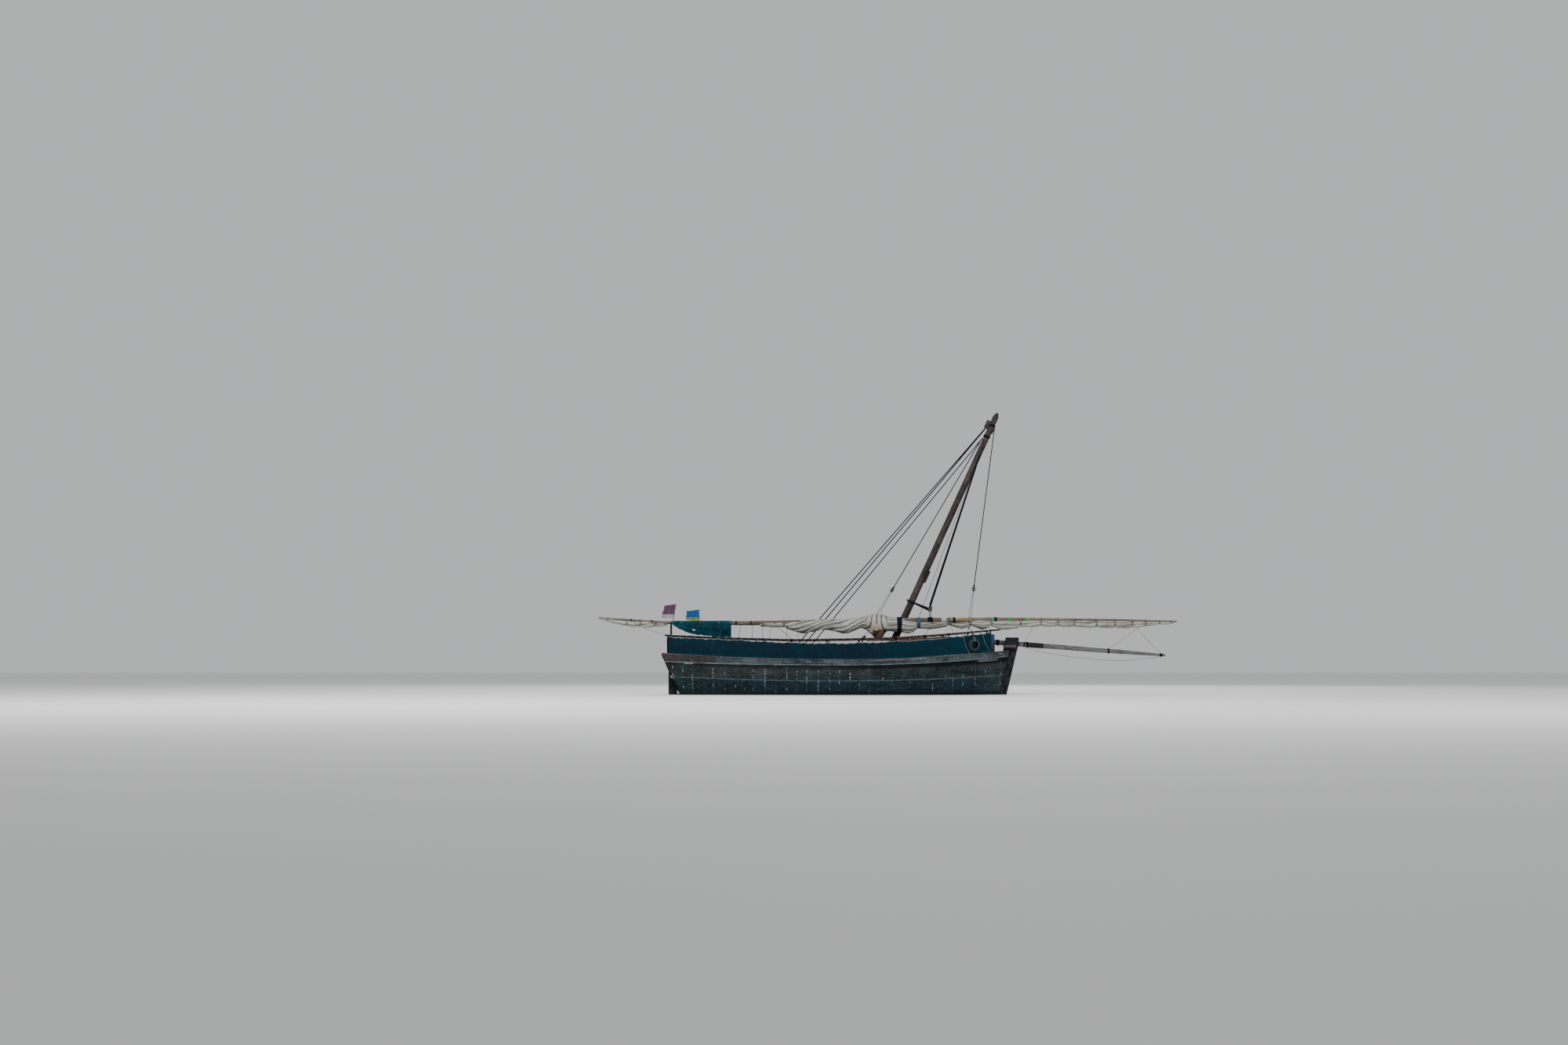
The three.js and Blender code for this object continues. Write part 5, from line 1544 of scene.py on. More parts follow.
def furl_height(base, a, drop, count, twist):
    """Height from 0 to 1 of the furled cloth at an angle round the bundle; drop is 0 at its top, 1 below."""
    stray = wobble(base.x * 0.9, math.cos(a) * 0.8 + 9, math.sin(a) * 0.8)
    phase = 0.5 * count * a + twist * base.x + 1.7 * stray
    fine = 1.5 * count * a + 1.9 * twist * base.x + 3.2 * stray
    wound = 0.62 * rolls(phase) + 0.26 * rolls(fine) + 0.12 * rolls(2.3 * fine + 2.0 * stray)
    fan = (base.x - BUNCH_TOP) * (1.5 - 0.75 * drop) + 0.10 * (base.y - YARD_Y)
    hung = 0.72 * rolls(fan * 9.5 + 1.1 * stray + 0.8 * drop) + 0.28 * rolls(fan * 23 + 2.6 * stray)
    inside = clamp((0.62 - abs(base.x - BUNCH_TOP)) / 0.22)
    return lerp(wound, hung, inside * inside * (3 - 2 * inside))


def run_y(x):
    """Place of the furled run across the boat."""
    return lerp(YARD_Y, FORE_Y, clamp((x - RUN_SHIFT[0]) / (RUN_SHIFT[1] - RUN_SHIFT[0])))


def make_sails():
    """Furled sail: five lengths of rolled cloth, pinched by their gaskets."""
    for name, profile, x0, x1, folds, twist, depth, gaskets in FURLS:
        rows = SAILS[profile]
        ends = (rows[0][0], rows[-1][0])
        shape, ties, uvs, rings = Shape(), Shape(), [], []
        count = max(int((x1 - x0) / RING_STEP), 36)
        for x in steps(x0, x1, count):
            line = yard_z(x)
            high = line + smooth_read(rows, x, 1)
            low = smooth_read(rows, x, 2)
            half = smooth_read(rows, x, 3)
            near = min([abs(x - place) for place in gaskets] + [9])
            pinch = math.exp(-(near / 0.055) ** 2)
            slack = 1 - math.exp(-(near / 0.30) ** 2)
            low += (high - low) * (0.18 * pinch - 0.06 * slack) + 0.035 * wobble(x * 1.7, 3, 8)
            if profile == "main":
                low += 0.05 * wobble(x * 7, 1, 4) * math.exp(-((x - BUNCH_TOP) / 0.4) ** 2)
            half *= 1 - 0.22 * pinch + 0.06 * slack
            tip = clamp(min(x - ends[0], ends[1] - x) / 0.10)
            close = math.sqrt(clamp(1 - (1 - tip) ** 2, 0.02, 1))
            middle, tall = lerp(line - 0.04, (high + low) / 2, 0.4 + 0.6 * close), close * (high - low) / 2
            ring = []
            for n in range(RING):
                a = 2 * math.pi * n / RING
                up, out = math.sin(a), math.cos(a)
                wide = close * half * out * (1 - 0.20 * up - 0.08 * up * up)
                base = Vector((x, run_y(x) + wide, middle + tall * up))
                height = furl_height(base, a, 0.5 - 0.5 * up, folds, twist)
                fold = (0.35 + 0.65 * slack) * (height - 0.75)
                inner = clamp(min(x - x0, x1 - x) / 0.2)
                fold *= lerp(RUN_DEPTH, depth, inner) if profile == "main" else depth
                fold += 0.006 * wobble(x * 16, base.y * 18, base.z * 18)
                fold += 0.007 * ridge(x * 5, base.y * 12, base.z * 12 + 3)
                away = Vector((0, out * tall, up * half * close)).normalized()
                ring.append(base + away * fold * (0.55 + 0.45 * clamp(0.6 - 0.8 * up)) * close)
                # U holds the fold height for painted shade in the creases, lower where a gasket pinches the
                # cloth
                uvs.append((height * (1 - 0.5 * pinch), 0.0))
            rings.append(ring)
        shape.loft(rings, uvs)
        furl = shape.piece(f"furled_{name}", "sail_canvas", replaces=[f"sail_{name}"], body="yard",
                           crease=math.radians(70))
        for place in gaskets:
            if place in BANDS:
                continue
            high = yard_z(place) + max(smooth_read(rows, place, 1), yard_r(place)) + 0.012
            low = smooth_read(rows, place, 2)
            low += 0.16 * (high - low) - 0.004
            half = max(smooth_read(rows, place, 3) * 0.78, yard_r(place)) + 0.016
            lash(ties, place, run_y(place), (high + low) / 2, half, (high - low) / 2, 2.6, 0.008)
        if gaskets:
            ties.piece(f"gaskets_{name}", "pale_rope", body="yard")


def lash(shape, x, y, z, half_y, half_z, count, rope, steps=22, power=0.85, pitch=None):
    """Rope turns round a bundle that runs along X, its section an oval."""
    pitch = 2.1 * rope if pitch is None else pitch
    path = []
    for k in range(int(count * steps) + 1):
        a = 2 * math.pi * k / steps
        out, up = math.cos(a), math.sin(a)
        path.append((x + (k / steps - count / 2) * pitch, y + half_y * rounded(out, power),
                     z + half_z * rounded(up, power)))
    shape.tube(path, rope, 6)


# x of the middle and height of the top of the flap
FLAP = (1.74, 3.40)


def make_flap():
    """Tan corner of the sail that hangs out of the bunch, narrow where it leaves the folds."""
    rows = []
    for v in steps(0, 1, 14):
        line = []
        for u in steps(0, 1, 20):
            x = FLAP[0] + 0.06 * v + (u - 0.5) * lerp(0.12, 0.46, v ** 0.7)
            point = 0.09 * v * math.exp(-((u - 0.38) / 0.22) ** 2)
            z = FLAP[1] - 0.29 * v - point - 0.012 * math.sin(17 * u) * v
            out = v * (0.012 + 0.022 * math.sin(9 * u + 1.5 * v + 0.6))
            line.append((x, YARD_Y - lerp(0.19, 0.33, min(1, 2.2 * v)) - out, z))
        rows.append(line)
    flap = sheet_piece("sail_flap", rows, "sail_canvas", "tan_canvas", "yard", 0.003)


# Tarpaulin, repeated from the part: x, lowest height to starboard and to port
TARP = [(-7.9, 3.3, 3.3), (-7.65, 3.15, 3.2), (-7.1, 2.915, 3.12), (-6.2, 2.79, 3.1), (-5.14, 2.69, 3.06)]
TARP_HOLES = [(-6.91, 3.09, 0.066, 0.056)]
TARP_STRIP = (-5.93, 0.10, 0.34)


def tarp_hole(point):
    """Whether a point of the starboard fall lies in a torn hole."""
    if point.y > YARD_Y or point.z > yard_z(point.x) - 0.02:
        return False
    jag = 1 + 0.35 * wobble(point.x * 30, point.z * 30, 0)
    return any(((point.x - x) / a) ** 2 + ((point.z - z) / b) ** 2 < jag for x, z, a, b in TARP_HOLES)


def tarp_wrinkle(x, drop, z, fall, sign):
    """How far a fall of the tarpaulin stands out: pleats, and folds that fan from its aft upper corner."""
    pleat = math.sin(x * 11 + 1.2 * math.sin(x * 3.1)) * 0.030 * fall
    wrinkle = 0.036 * fall * ridge(x * 2.4, z * 1.6, sign * 4.0)
    wrinkle += 0.014 * ridge(x * 5.5, z * 5.0, sign * 2.0) * min(fall * 3, 1)
    angle = math.atan2(drop, x - TARP[0][0] + 0.10)
    reach = math.hypot(drop, x - TARP[0][0])
    fan = 0.12 * (rolls(angle * 15) - 0.4) * min(reach, 0.6)
    wrinkle += fan * math.exp(-reach / 1.1) * min(fall * 4, 1)
    wrinkle += 0.05 * (rolls(x * 17) - 0.6) * clamp((x + 5.50) / 0.30) * min(fall * 3, 1)
    return pleat + wrinkle


def make_tarp():
    """Tarpaulin over the aft spar, ragged along its lower edges, tied down in four places."""
    sides = []
    down, over, back = 26, 12, 16
    for x in steps(TARP[0][0], TARP[-1][0], 150):
        ragged = 0.035 * wobble(x * 6, 1, 1) + 0.02 * wobble(x * 19, 4, 1)
        starboard = smooth_read(TARP, x, 1) + ragged
        strip = clamp(1 - abs(x - TARP_STRIP[0]) / TARP_STRIP[1])
        starboard -= TARP_STRIP[2] * min(strip * 2.2, 1) ** 0.5
        port = smooth_read(TARP, x, 2) + 0.03 * wobble(x * 7, 9, 3)
        r, z = yard_r(x) + 0.012, yard_z(x)
        row = []
        for sign, heights in ((-1, [lerp(starboard, z, n / down) for n in range(down)]),
                              (0, [math.pi * n / over for n in range(over + 1)]),
                              (1, steps(z, port, back)[1:])):
            for value in heights:
                if sign:
                    fall = clamp((z - value) / 0.7)
                    wrinkle = tarp_wrinkle(x, z - value, value, fall, sign)
                    out = r + 0.012 + 0.010 * fall + max(wrinkle, -r * 0.7 * fall)
                    shift = 0.03 * fall * wobble(x * 2, value * 2, 8)
                    row.append((x + shift, YARD_Y + sign * out, value))
                else:
                    row.append((x, YARD_Y - (r + 0.012) * math.cos(value),
                                z + (r + 0.004) * math.sin(value) + 0.003 * wobble(x * 12, value, 0)))
        sides.append(row)
    tarp = sheet_piece("tarp_sheet", sides, "tarpaulin", body="yard", holes=tarp_hole, replaces=["tarp"])
    ties = Shape()
    for x in (-7.5, -6.6, -5.7, -5.2):
        lash(ties, x, YARD_Y, yard_z(x) + 0.01, yard_r(x) + 0.022, yard_r(x) + 0.026, 2.4, 0.007)
    ties.piece("tarp_ties", "pale_rope", body="yard")
    around = [2 * yard_z(x) - smooth_read(TARP, x, 1) - smooth_read(TARP, x, 2) + 3.1 * (yard_r(x) + 0.01)
              for x in steps(TARP[0][0], TARP[-1][0], 30)]
    area = sum(around) / 31 * 2.76


# name, foot and head of the pole, length from the pole to the fly, height of the lower edge
FLAGS = [
    ("maroon", (-8.105, 0.6, 2.79), (-7.812, 0.6, 4.345), 0.56, 3.65),
    ("blue", (-6.747, rail_y(-6.747), rail_z(-6.747)), (-6.747, rail_y(-6.747), 4.11), 0.62, 3.56),
]


def make_flags():
    """Two plain flags at the stern, each on its pole with three ties."""
    for name, foot, head, fly, hem in FLAGS:
        foot, head = Vector(foot), Vector(head)
        pole = Shape()
        path = [foot.lerp(head, k / 12) + Vector((0.004 * math.sin(k * 1.3), 0.003 * math.cos(k), 0))
                for k in range(13)]
        pole.tube(path, lambda u: lerp(0.018, 0.012, u) * (1 + 0.12 * abs(math.sin(u * 17))), 10)
        pole.turns(foot + Vector((0, 0, 0.045)), head - foot, 0.022, 0.006, 5)
        pole.ball(head, 0.018, (1, 1, 1.3), 6, 8)
        pole.piece(f"flagpole_{name}_staff", "dark_pole", replaces=[f"flagpole_{name}"], crease=SHARP)
        top = head.z - 0.015
        rows = []
        for v in steps(0, 1, 18):
            line = []
            for u in steps(0, 1, 24):
                z0 = lerp(top, hem, v)
                x = lerp(foot.x, head.x, (z0 - foot.z) / (head.z - foot.z)) - 0.017 - fly * u
                wave = 0.055 * u * math.sin(7.2 * u + 2.4 * v + 1) + 0.02 * u * math.sin(15 * u - 3 * v)
                droop = 0.085 * u * u * (1 - v) + 0.025 * u * math.sin(4 * u + v)
                line.append((x + 0.02 * u * math.sin(6 * v), foot.y + wave, z0 - droop))
            rows.append(line)
        flag = sheet_piece(f"flag_{name}_bunting", rows, f"{name}_flag", thick=0.002,
                           replaces=[f"flag_{name}"])
        ties = Shape()
        for v in (0.03, 0.5, 0.97):
            z0 = lerp(top, hem, v)
            x = lerp(foot.x, head.x, (z0 - foot.z) / (head.z - foot.z))
            ties.turns((x - 0.004, foot.y, z0), (0, 0, 1), 0.019, 0.003, 2)
        ties.piece(f"flag_ties_{name}", "pale_rope")
        fly + 0.02
        top - hem


# Spars
def make_spars():
    """Both spars of the yard, with knots; then the mast, the bowsprit and the bark left on it."""
    for name, y, table in (("aft", YARD_Y, AFT_SPAR_R), ("fore", FORE_Y, FORE_SPAR_R)):
        low, high = table[0][0], table[-1][0]
        shape = Shape()
        path = []
        for x in steps(low, high, int((high - low) / 0.12)):
            end = 1 - clamp(min(x - low, high - x) / 0.3)
            wander = 0.010 * (1 - end)
            path.append((x, y + wander * wobble(x * 0.6, y, 2), yard_z(x) + wander * wobble(x * 0.5, y, 9)))
        knots = [(RANDOM.uniform(low, high), RANDOM.uniform(0.04, 0.09)) for _ in range(26)]

        def size(u):
            x = lerp(low, high, u)
            swell = sum(math.exp(-((x - place) / wide) ** 2) for place, wide in knots)
            return read(table, x) * (1 + 0.03 * wobble(x * 1.5, y, 4) + 0.05 * min(swell, 1.5))

        shape.tube(path, size, 20)
        shape.piece(f"yard_spar_{name}", "spar_timber", replaces=[f"yard_{name}_spar"], body="yard",
                    crease=SHARP)
    mast = Shape()
    low, high = MAST_FOOT_Z + 0.282, MAST_TOP_Z
    path = [(mast_x(z) + 0.006 * wobble(z, 1, 2), 0.006 * wobble(z, 7, 2), z) for z in steps(low, high, 90)]

    def girth(u):
        z = lerp(low, high, u)
        grown = mast_r(z) * (1 + 0.03 * wobble(z * 1.3, 5, 5))
        return grown * (1 - 0.25 * clamp((z - high + 0.12) / 0.12))

    mast.tube(path, girth, 24)
    tip = Vector((mast_x(high + 0.03), 0, high + 0.03))
    mast.ball(tip, 0.075, (1, 1, 0.9), 8, 14)
    mast.piece("mast_pole", "spar_timber", "mast_timber", replaces=["mast"], crease=SHARP)
    bowsprit = Shape()
    rows = [(6.48, 0.118), (8.587, 0.120), (13.0, 0.105), (15.619, 0.055)]
    ends = (rows[0][0], rows[-1][0])
    path = [(x, BOWSPRIT_Y, bowsprit_z(x) + 0.008 * wobble(x * 0.7, 3, 3)) for x in steps(*ends, 80)]

    def thick(u):
        return smooth_read(rows, lerp(*ends, u)) * (1 + 0.035 * wobble(u * 20, 1, 1))

    bowsprit.tube(path, thick, 18)
    bowsprit.piece("bowsprit_pole", "spar_timber", "bowsprit_timber", replaces=["bowsprit"], crease=SHARP)
    bark = Shape()
    rings = []
    for k in range(13):
        x = lerp(9.02, 9.78, k / 12)
        z, ring = bowsprit_z(x), []
        for c, s in circle(18):
            out = 0.1195 + 0.007 * math.sin(math.pi * k / 12) ** 0.5 + 0.004 * wobble(x * 9, c * 2, s * 2)
            ring.append((x, BOWSPRIT_Y + out * c, z + out * s))
        rings.append(ring)
    bark.loft(rings)
    bark.piece("bowsprit_bark", "dark_pole", crease=SHARP)


# Coverings of the yard: paint, slot, y of the spar, and the x from and to of each
YARD_WRAPS = [
    ("blue_tape", "blue_flag", YARD_Y, ((3.71, 3.90), (2.98, 3.05))),
    ("white_tape", "sail_canvas", YARD_Y, ((4.86, 5.10),)),
    ("tan_timber", "spar_timber", FORE_Y, ((5.305, 6.15),)),
    ("green_tape", "tarpaulin", FORE_Y, ((7.24, 7.52), (7.95, 8.22), (8.82, 9.06))),
]


def make_yard_fittings():
    """Tapes and a wooden sleeve on the spars, and the lashings that join the spars and hold the sail."""
    for paint, slot, y, runs in YARD_WRAPS:
        shape = Shape()
        table = AFT_SPAR_R if y == YARD_Y else FORE_SPAR_R
        for low, high in runs:
            rings = []
            for k, x in enumerate(steps(low, high, 16)):
                ring = []
                edge = 0.004 if k in (0, 16) else 0.0
                for n, (c, s) in enumerate(circle(22)):
                    coil = 0.003 * math.sin(40 * x + 2 * math.pi * n / 22) + 0.003 * wobble(x * 12, c, s)
                    out = read(table, x) * 1.035 + 0.008 - edge + coil
                    ring.append((x, y + out * c, yard_z(x) + out * s))
                rings.append(ring)
            shape.loft(rings)
        shape.piece(f"yard_wrap_{paint}", slot, paint, body="yard", crease=SHARP)
    dark, pale, tape = Shape(), Shape(), Shape()
    both = (YARD_Y + FORE_Y) / 2
    for x, low, half, count, pile in ((BANDS[0], 2.99, 0.240, 9, dark), (BANDS[1], 3.15, 0.170, 7, tape)):
        high = yard_z(x) + (0.150 if x < 3 else yard_r(x) + 0.012)
        lash(pile, x, YARD_Y, (high + low) / 2, half, (high - low) / 2, count, 0.012)
    for x, count, pile in ((5.45, 5, dark), (6.24, 9, pale), (7.12, 4, pale), (7.42, 6, dark)):
        thick = max(read(AFT_SPAR_R, x), read(FORE_SPAR_R, x))
        apart = abs(YARD_Y - FORE_Y) / 2 + thick + 0.012
        lash(pile, x, both, yard_z(x), apart, thick + 0.014, count, 0.011, 28, 0.6)
    for x in (9.56, 10.38, 13.08, 14.54, 15.74):
        dark.ball((x, FORE_Y, yard_z(x) + read(FORE_SPAR_R, x) + 0.012), 0.022, (1.3, 1, 0.8), 6, 8)
    for x in (-9.9, -8.9, -4.9, -4.2):
        lash(dark, x, YARD_Y, yard_z(x), yard_r(x) + 0.008, yard_r(x) + 0.008, 4, 0.007)
    dark.piece("yard_lashings_dark", "dark_rope", "blue_rope", body="yard")
    tape.piece("yard_lashings_grey", "pale_rope", "blue_tape", body="yard")
    pale.piece("yard_lashings_pale", "pale_rope", body="yard")


# Standing rigging, repeated from the part: masthead end, foot x, height of the upper block, radius
STAYS = [
    ("aft_backstay", (7.064, 0.096, 12.790), -2.580, 2.330, 0.026),
    ("fore_backstay", (7.064, 0.135, 12.760), -2.230, 2.330, 0.026),
    ("running_backstay", (6.915, 0.070, 12.290), -1.850, 2.330, 0.024),
    ("shroud", (6.870, 0.110, 12.240), 0.650, 5.050, 0.022),
    ("forestay", (7.520, 0.090, 12.870), 6.150, 5.080, 0.022),
]
# Height of the lower block of the shroud and the forestay, which shows above the rail
LOW_BLOCK_Z = 2.74


def pulley(shape, centre, along, size):
    """Wooden block: two cheeks and a sheave between them."""
    centre, along = Vector(centre), Vector(along).normalized()
    side = along.cross(Vector((0, 1, 0))).normalized()
    out = side.cross(along)
    turn = Matrix((side, out, along)).transposed()
    for sign in (-1, 1):
        rings = []
        for deep, grow in ((-0.16, 0.82), (-0.10, 1.0), (0.10, 1.0), (0.16, 0.82)):
            rings.append([centre + turn @ (Vector((0.62 * c * grow, sign * 0.36 + deep, s * grow)) * size)
                          for c, s in circle(16)])
        shape.loft(rings)
    rings = []
    for deep, grow in ((-0.2, 0.52), (-0.12, 0.44), (0.12, 0.44), (0.2, 0.52)):
        rings.append([centre + turn @ (Vector((grow * c, deep, grow * s)) * size) for c, s in circle(16)])
    shape.loft(rings)


def hang(child, parent):
    """Child kept with its parent, where it is."""
    child.parent = parent
    child.matrix_parent_inverse = parent.matrix_world.inverted()


def make_stays():
    """Five stays, each a rope with a wooden block at both ends of its tackle."""
    for name, head, foot_x, block_z, r in STAYS:
        foot = Vector((foot_x, sheer_half(foot_x) - 0.115, sheer_z(foot_x) + 0.0003))
        head = Vector(head)

        def at(z):
            return foot.lerp(head, (z - foot.z) / (head.z - foot.z))

        along = (head - foot).normalized()
        side = along.cross(Vector((0, 1, 0))).normalized()
        rope, wood = Shape(), Shape()
        top = at(block_z)
        rope.tube(straight(head, top, 24), r, 10)
        pulley(wood, top, along, 0.105)
        short = block_z < 3
        low = at(foot.z + 0.32 if short else LOW_BLOCK_Z)
        if not short:
            tail = at(block_z - 1.9)
            for shift in (-0.040, 0.0, 0.045):
                rope.tube([top + side * shift * 0.6, top.lerp(tail, 0.5) + side * shift * 1.6,
                           tail + side * shift], 0.008, 6)
            rope.tube([tail, low], 0.010, 7)
            rope.turns(tail, along, 0.018, 0.008, 6)
        else:
            for shift in (-0.035, 0.0, 0.035):
                rope.tube([top + side * shift, low + side * shift], 0.008, 6)
        size = 0.080 if short else 0.110
        pulley(wood, low, along, size)
        rope.tube([low, foot], 0.012, 8)
        rope.turns(foot + along * 0.12, along, 0.024, 0.009, 7)
        rope.turns(top + along * 0.15, along, r + 0.008, 0.008, 6)
        rope.turns(top, side.cross(along), 0.112, 0.010, 1.0, 0.002, 6, 20)
        rope.turns(low, side.cross(along), size + 0.006, 0.009, 1.0, 0.002, 6, 20)
        lines = rope.piece(f"rope_{name}", "dark_rope", replaces=[f"stay_{name}"], crease=SHARP)
        blocks = wood.piece(f"blocks_{name}", "spar_timber", "mast_timber", crease=SHARP)
        hang(blocks, lines)


def make_masthead():
    """Rope seizings round the mast, its rubbing cheeks, and the two cheeks and pin of its head sheave."""
    shape = Shape()
    axis = Vector((MAST_RAKE, 0, 1)).normalized()
    for z, count, rope in ((12.90, 4, 0.016), (12.36, 4, 0.014), (3.10, 6, 0.014)):
        shape.turns((mast_x(z), 0, z), axis, mast_r(z) + rope, rope, count)
    shape.piece("mast_seizings", "dark_rope")
    wood = Shape()
    cheek = Matrix.Rotation(math.atan(MAST_RAKE), 3, "Y")
    for z, dx, size in ((5.61, 0.215, (0.075, 0.10, 0.62)), (12.62, 0.17, (0.07, 0.13, 0.26))):
        wood.block((mast_x(z) + dx, 0, z), size, cheek, 0.018)
    for y in (-0.088, 0.088):
        wood.block((mast_x(12.90) - mast_r(12.9) - 0.075, y, 12.96), (0.19, 0.028, 0.40), cheek, 0.008)
    wood.turns((mast_x(12.90) - mast_r(12.9) - 0.075, 0, 12.96), (0, 1, 0), 0.008, 0.010, 8, 0.03)
    wood.piece("mast_cheeks", "spar_timber", "mast_timber", crease=SHARP)


def make_halyard():
    """Halyard purchase from the masthead to the block on the yard."""
    head = Vector((7.155, -0.055, 12.62))
    foot = Vector((4.33, -0.52, 4.245))
    shape = Shape()
    along = (head - foot).normalized()
    side = along.cross(Vector((0, 1, 0))).normalized()
    for shift, r in ((-0.035, 0.024), (0.035, 0.024), (0.0, 0.020)):
        path = [head.lerp(foot, k / 40) + side * shift * (0.5 + 0.5 * k / 40) for k in range(41)]
        shape.tube(path, r, 8)
    halyard = shape.piece("halyard_purchase", "dark_rope", crease=SHARP)
    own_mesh(halyard)
    tail = Shape()
    cleat = Vector((3.05, 0.36, 1.6))
    tail.tube(straight(Vector((7.20, 0.10, 12.60)), cleat, 30), 0.011, 7)
    tail.turns(cleat, (0.4, 0, 1), 0.02, 0.011, 5)
    tail.piece("halyard_tail", "dark_rope", crease=SHARP)


def make_sling():
    """Sling: heavy turns round the yard, a strop and a carved block; and the parrel round the mast."""
    shape, wood = Shape(), Shape()
    x, y, z = 4.33, YARD_Y, yard_z(4.33)
    around = read(AFT_SPAR_R, x) + 0.016
    lash(shape, x, y, z, around, around, 8, 0.016, 26, 1.0, 0.031)
    lash(shape, x + 0.01, y, z, around + 0.022, around + 0.022, 3, 0.014, 26, 1.0, 0.034)
    for sign in (-1, 1):
        shape.tube(curve_through([(x + sign * 0.035, y - 0.02, z + around - 0.02),
                                  (x + sign * 0.028, y, 3.8), (x + sign * 0.06, y, 3.96),
                                  (x + sign * 0.072, y, 4.09), (x + sign * 0.04, y, 4.215), (x, y, 4.245)],
                                 0.05), 0.016, 8)
    pulley(wood, (x, y, 4.085), (0.3, 0, 1), 0.150)
    sling = shape.piece("yard_sling_rope", "dark_rope", "blue_rope", replaces=["yard_sling"], body="yard",
                        crease=SHARP)
    block = wood.piece("yard_halyard_block", "spar_timber", "mast_timber", body="yard", crease=SHARP)
    hang(block, sling)
    shape = Shape()
    parrel_z, rope = 4.420, 0.024
    face = YARD_Y + 0.055 + rope + 0.001
    radius = mast_r(parrel_z) + rope + 0.034
    for lift, thin in ((0.026, 0.014), (0.0, 0.014), (-0.026, 0.014)):
        points = [(x + 0.010, face, 4.070 + lift)]
        for k in range(11):
            a = math.radians(-50 + 28 * k)
            points.append((mast_x(parrel_z) + radius * math.cos(a), radius * math.sin(a) * 1.02,
                           parrel_z - 0.4 * radius * math.cos(a) + lift))
        points.append((x - 0.060, face, 4.010 + lift))
        shape.tube(curve_through(points, 0.04), thin, 8)
    shape.block((x - 0.025, face, 4.035), (0.150, 0.052, 0.135), None, 0.016)
    shape.turns((x - 0.02, face, 4.04), (1, 0, 0.5), 0.062, 0.010, 4)
    shape.piece("parrel_ropes", "dark_rope", replaces=["yard_parrel"], body="yard", crease=SHARP)


# Light lines between the yard and the rail: x at the yard, x at the rail, radius, sag
YARD_LINES = [(-4.7, -4.73, 0.009, 0.01), (-4.1, -4.12, 0.008, 0.02), (-3.66, -3.6, 0.009, 0.01),
              (-3.25, -3.3, 0.008, 0.01), (-3.02, -2.26, 0.008, 0.02), (-2.45, -2.52, 0.009, 0.01),
              (-2.0, -1.96, 0.008, 0.02), (4.46, 3.97, 0.009, 0.01), (5.28, 5.3, 0.009, 0.01),
              (6.13, 6.2, 0.012, 0.01), (-9.9, -8.0, 0.008, 0.1)]
# Light lines between the yard and the bowsprit: x at the yard, foot, radius, sag
BOWSPRIT_LINES = [
    (9.31, (8.87, 0.18, 2.50), 0.008, 0.02), (13.87, (15.40, 0.18, 1.96), 0.007, 0.04),
    (14.55, (12.9, 0.20, 2.19), 0.006, 0.02),
]


def make_yard_lines():
    """Light lines from the yard to the rail and the bowsprit."""
    shape = Shape()
    for x, foot_x, r, sag in YARD_LINES:
        y = YARD_Y if x < 5.3 else FORE_Y
        top = Vector((x, y - 0.5 * yard_r(x), yard_z(x) - 0.8 * yard_r(x)))
        foot = Vector((foot_x, -rail_y(foot_x) + 0.02, rail_z(foot_x) + 0.02))
        shape.tube(sagging(foot, top, sag, 14), r, 6)
    lines = shape.piece("yard_to_rail_lines", "dark_rope", body=None)
    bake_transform(lines)
    fore = Shape()
    for x, foot, r, sag in BOWSPRIT_LINES:
        top = Vector((x, FORE_Y + 0.02, yard_z(x) - yard_r(x) * 0.9))
        fore.tube(sagging(foot, top, sag, 16), r, 6)
    tackles = fore.piece("yard_to_bowsprit_lines", "dark_rope", body=None)
    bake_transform(tackles)
    knots = Shape()
    places = [(foot[0], bowsprit_z(foot[0]), 0.118 if foot[0] < 14 else 0.070, 0.010, 4)
              for _, foot, _, _ in BOWSPRIT_LINES]
    places += [(9.007, 2.379, 0.133, 0.012, 4), (15.42, 1.890, 0.073, 0.012, 5),
               (7.60, 2.486, 0.132, 0.012, 6)]
    for x, z, radius, rope, count in places:
        knots.turns((x, BOWSPRIT_Y, z), (1, 0, -BOWSPRIT_DROP), radius, rope, count)
    knots.piece("bowsprit_seizings", "dark_rope")


def make_bow_fittings():
    """Rope turns made fast round the stemhead and the bitt."""
    pale, dark = Shape(), Shape()
    bar_z = bowsprit_z(6.65) - 0.020

    def wind(pile, x, y, z, half_x, half_y, power, count, steps, pitch):
        """Turns laid round an upright timber, each a pitch above the last."""
        path = []
        for k in range(count * steps):
            a = 2 * math.pi * k / steps
            path.append((x + rounded(math.cos(a), power) * half_x, y + rounded(math.sin(a), power) * half_y,
                         z + k / steps * pitch))
        pile.tube(path, 0.013, 6)

    stem_at = lerp(7.969, 8.587, 0.40) - 0.06
    for z, count, pile in ((2.30, 4, pale), (2.12, 3, dark)):
        wind(pile, stem_at, 0, z - count / 2 * 0.027, 0.30, 0.108, 0.35, count, 40, 0.027)
    for y, count, pile in ((-0.42, 7, pale), (0.52, 5, dark)):
        wind(pile, 6.65, y, bar_z - 0.36, 0.100, 0.100, 0.4, count, 28, 0.028)
    for y in (-0.24, -0.15, -0.06, 0.02):
        dark.turns((6.65, y, bar_z - 0.065), (0, 1, 0), 0.098, 0.012, 2.6)
    pale.piece("bow_rope_turns", "pale_rope", "pink_rope")
    dark.piece("bow_rope_turns_dark", "dark_rope")


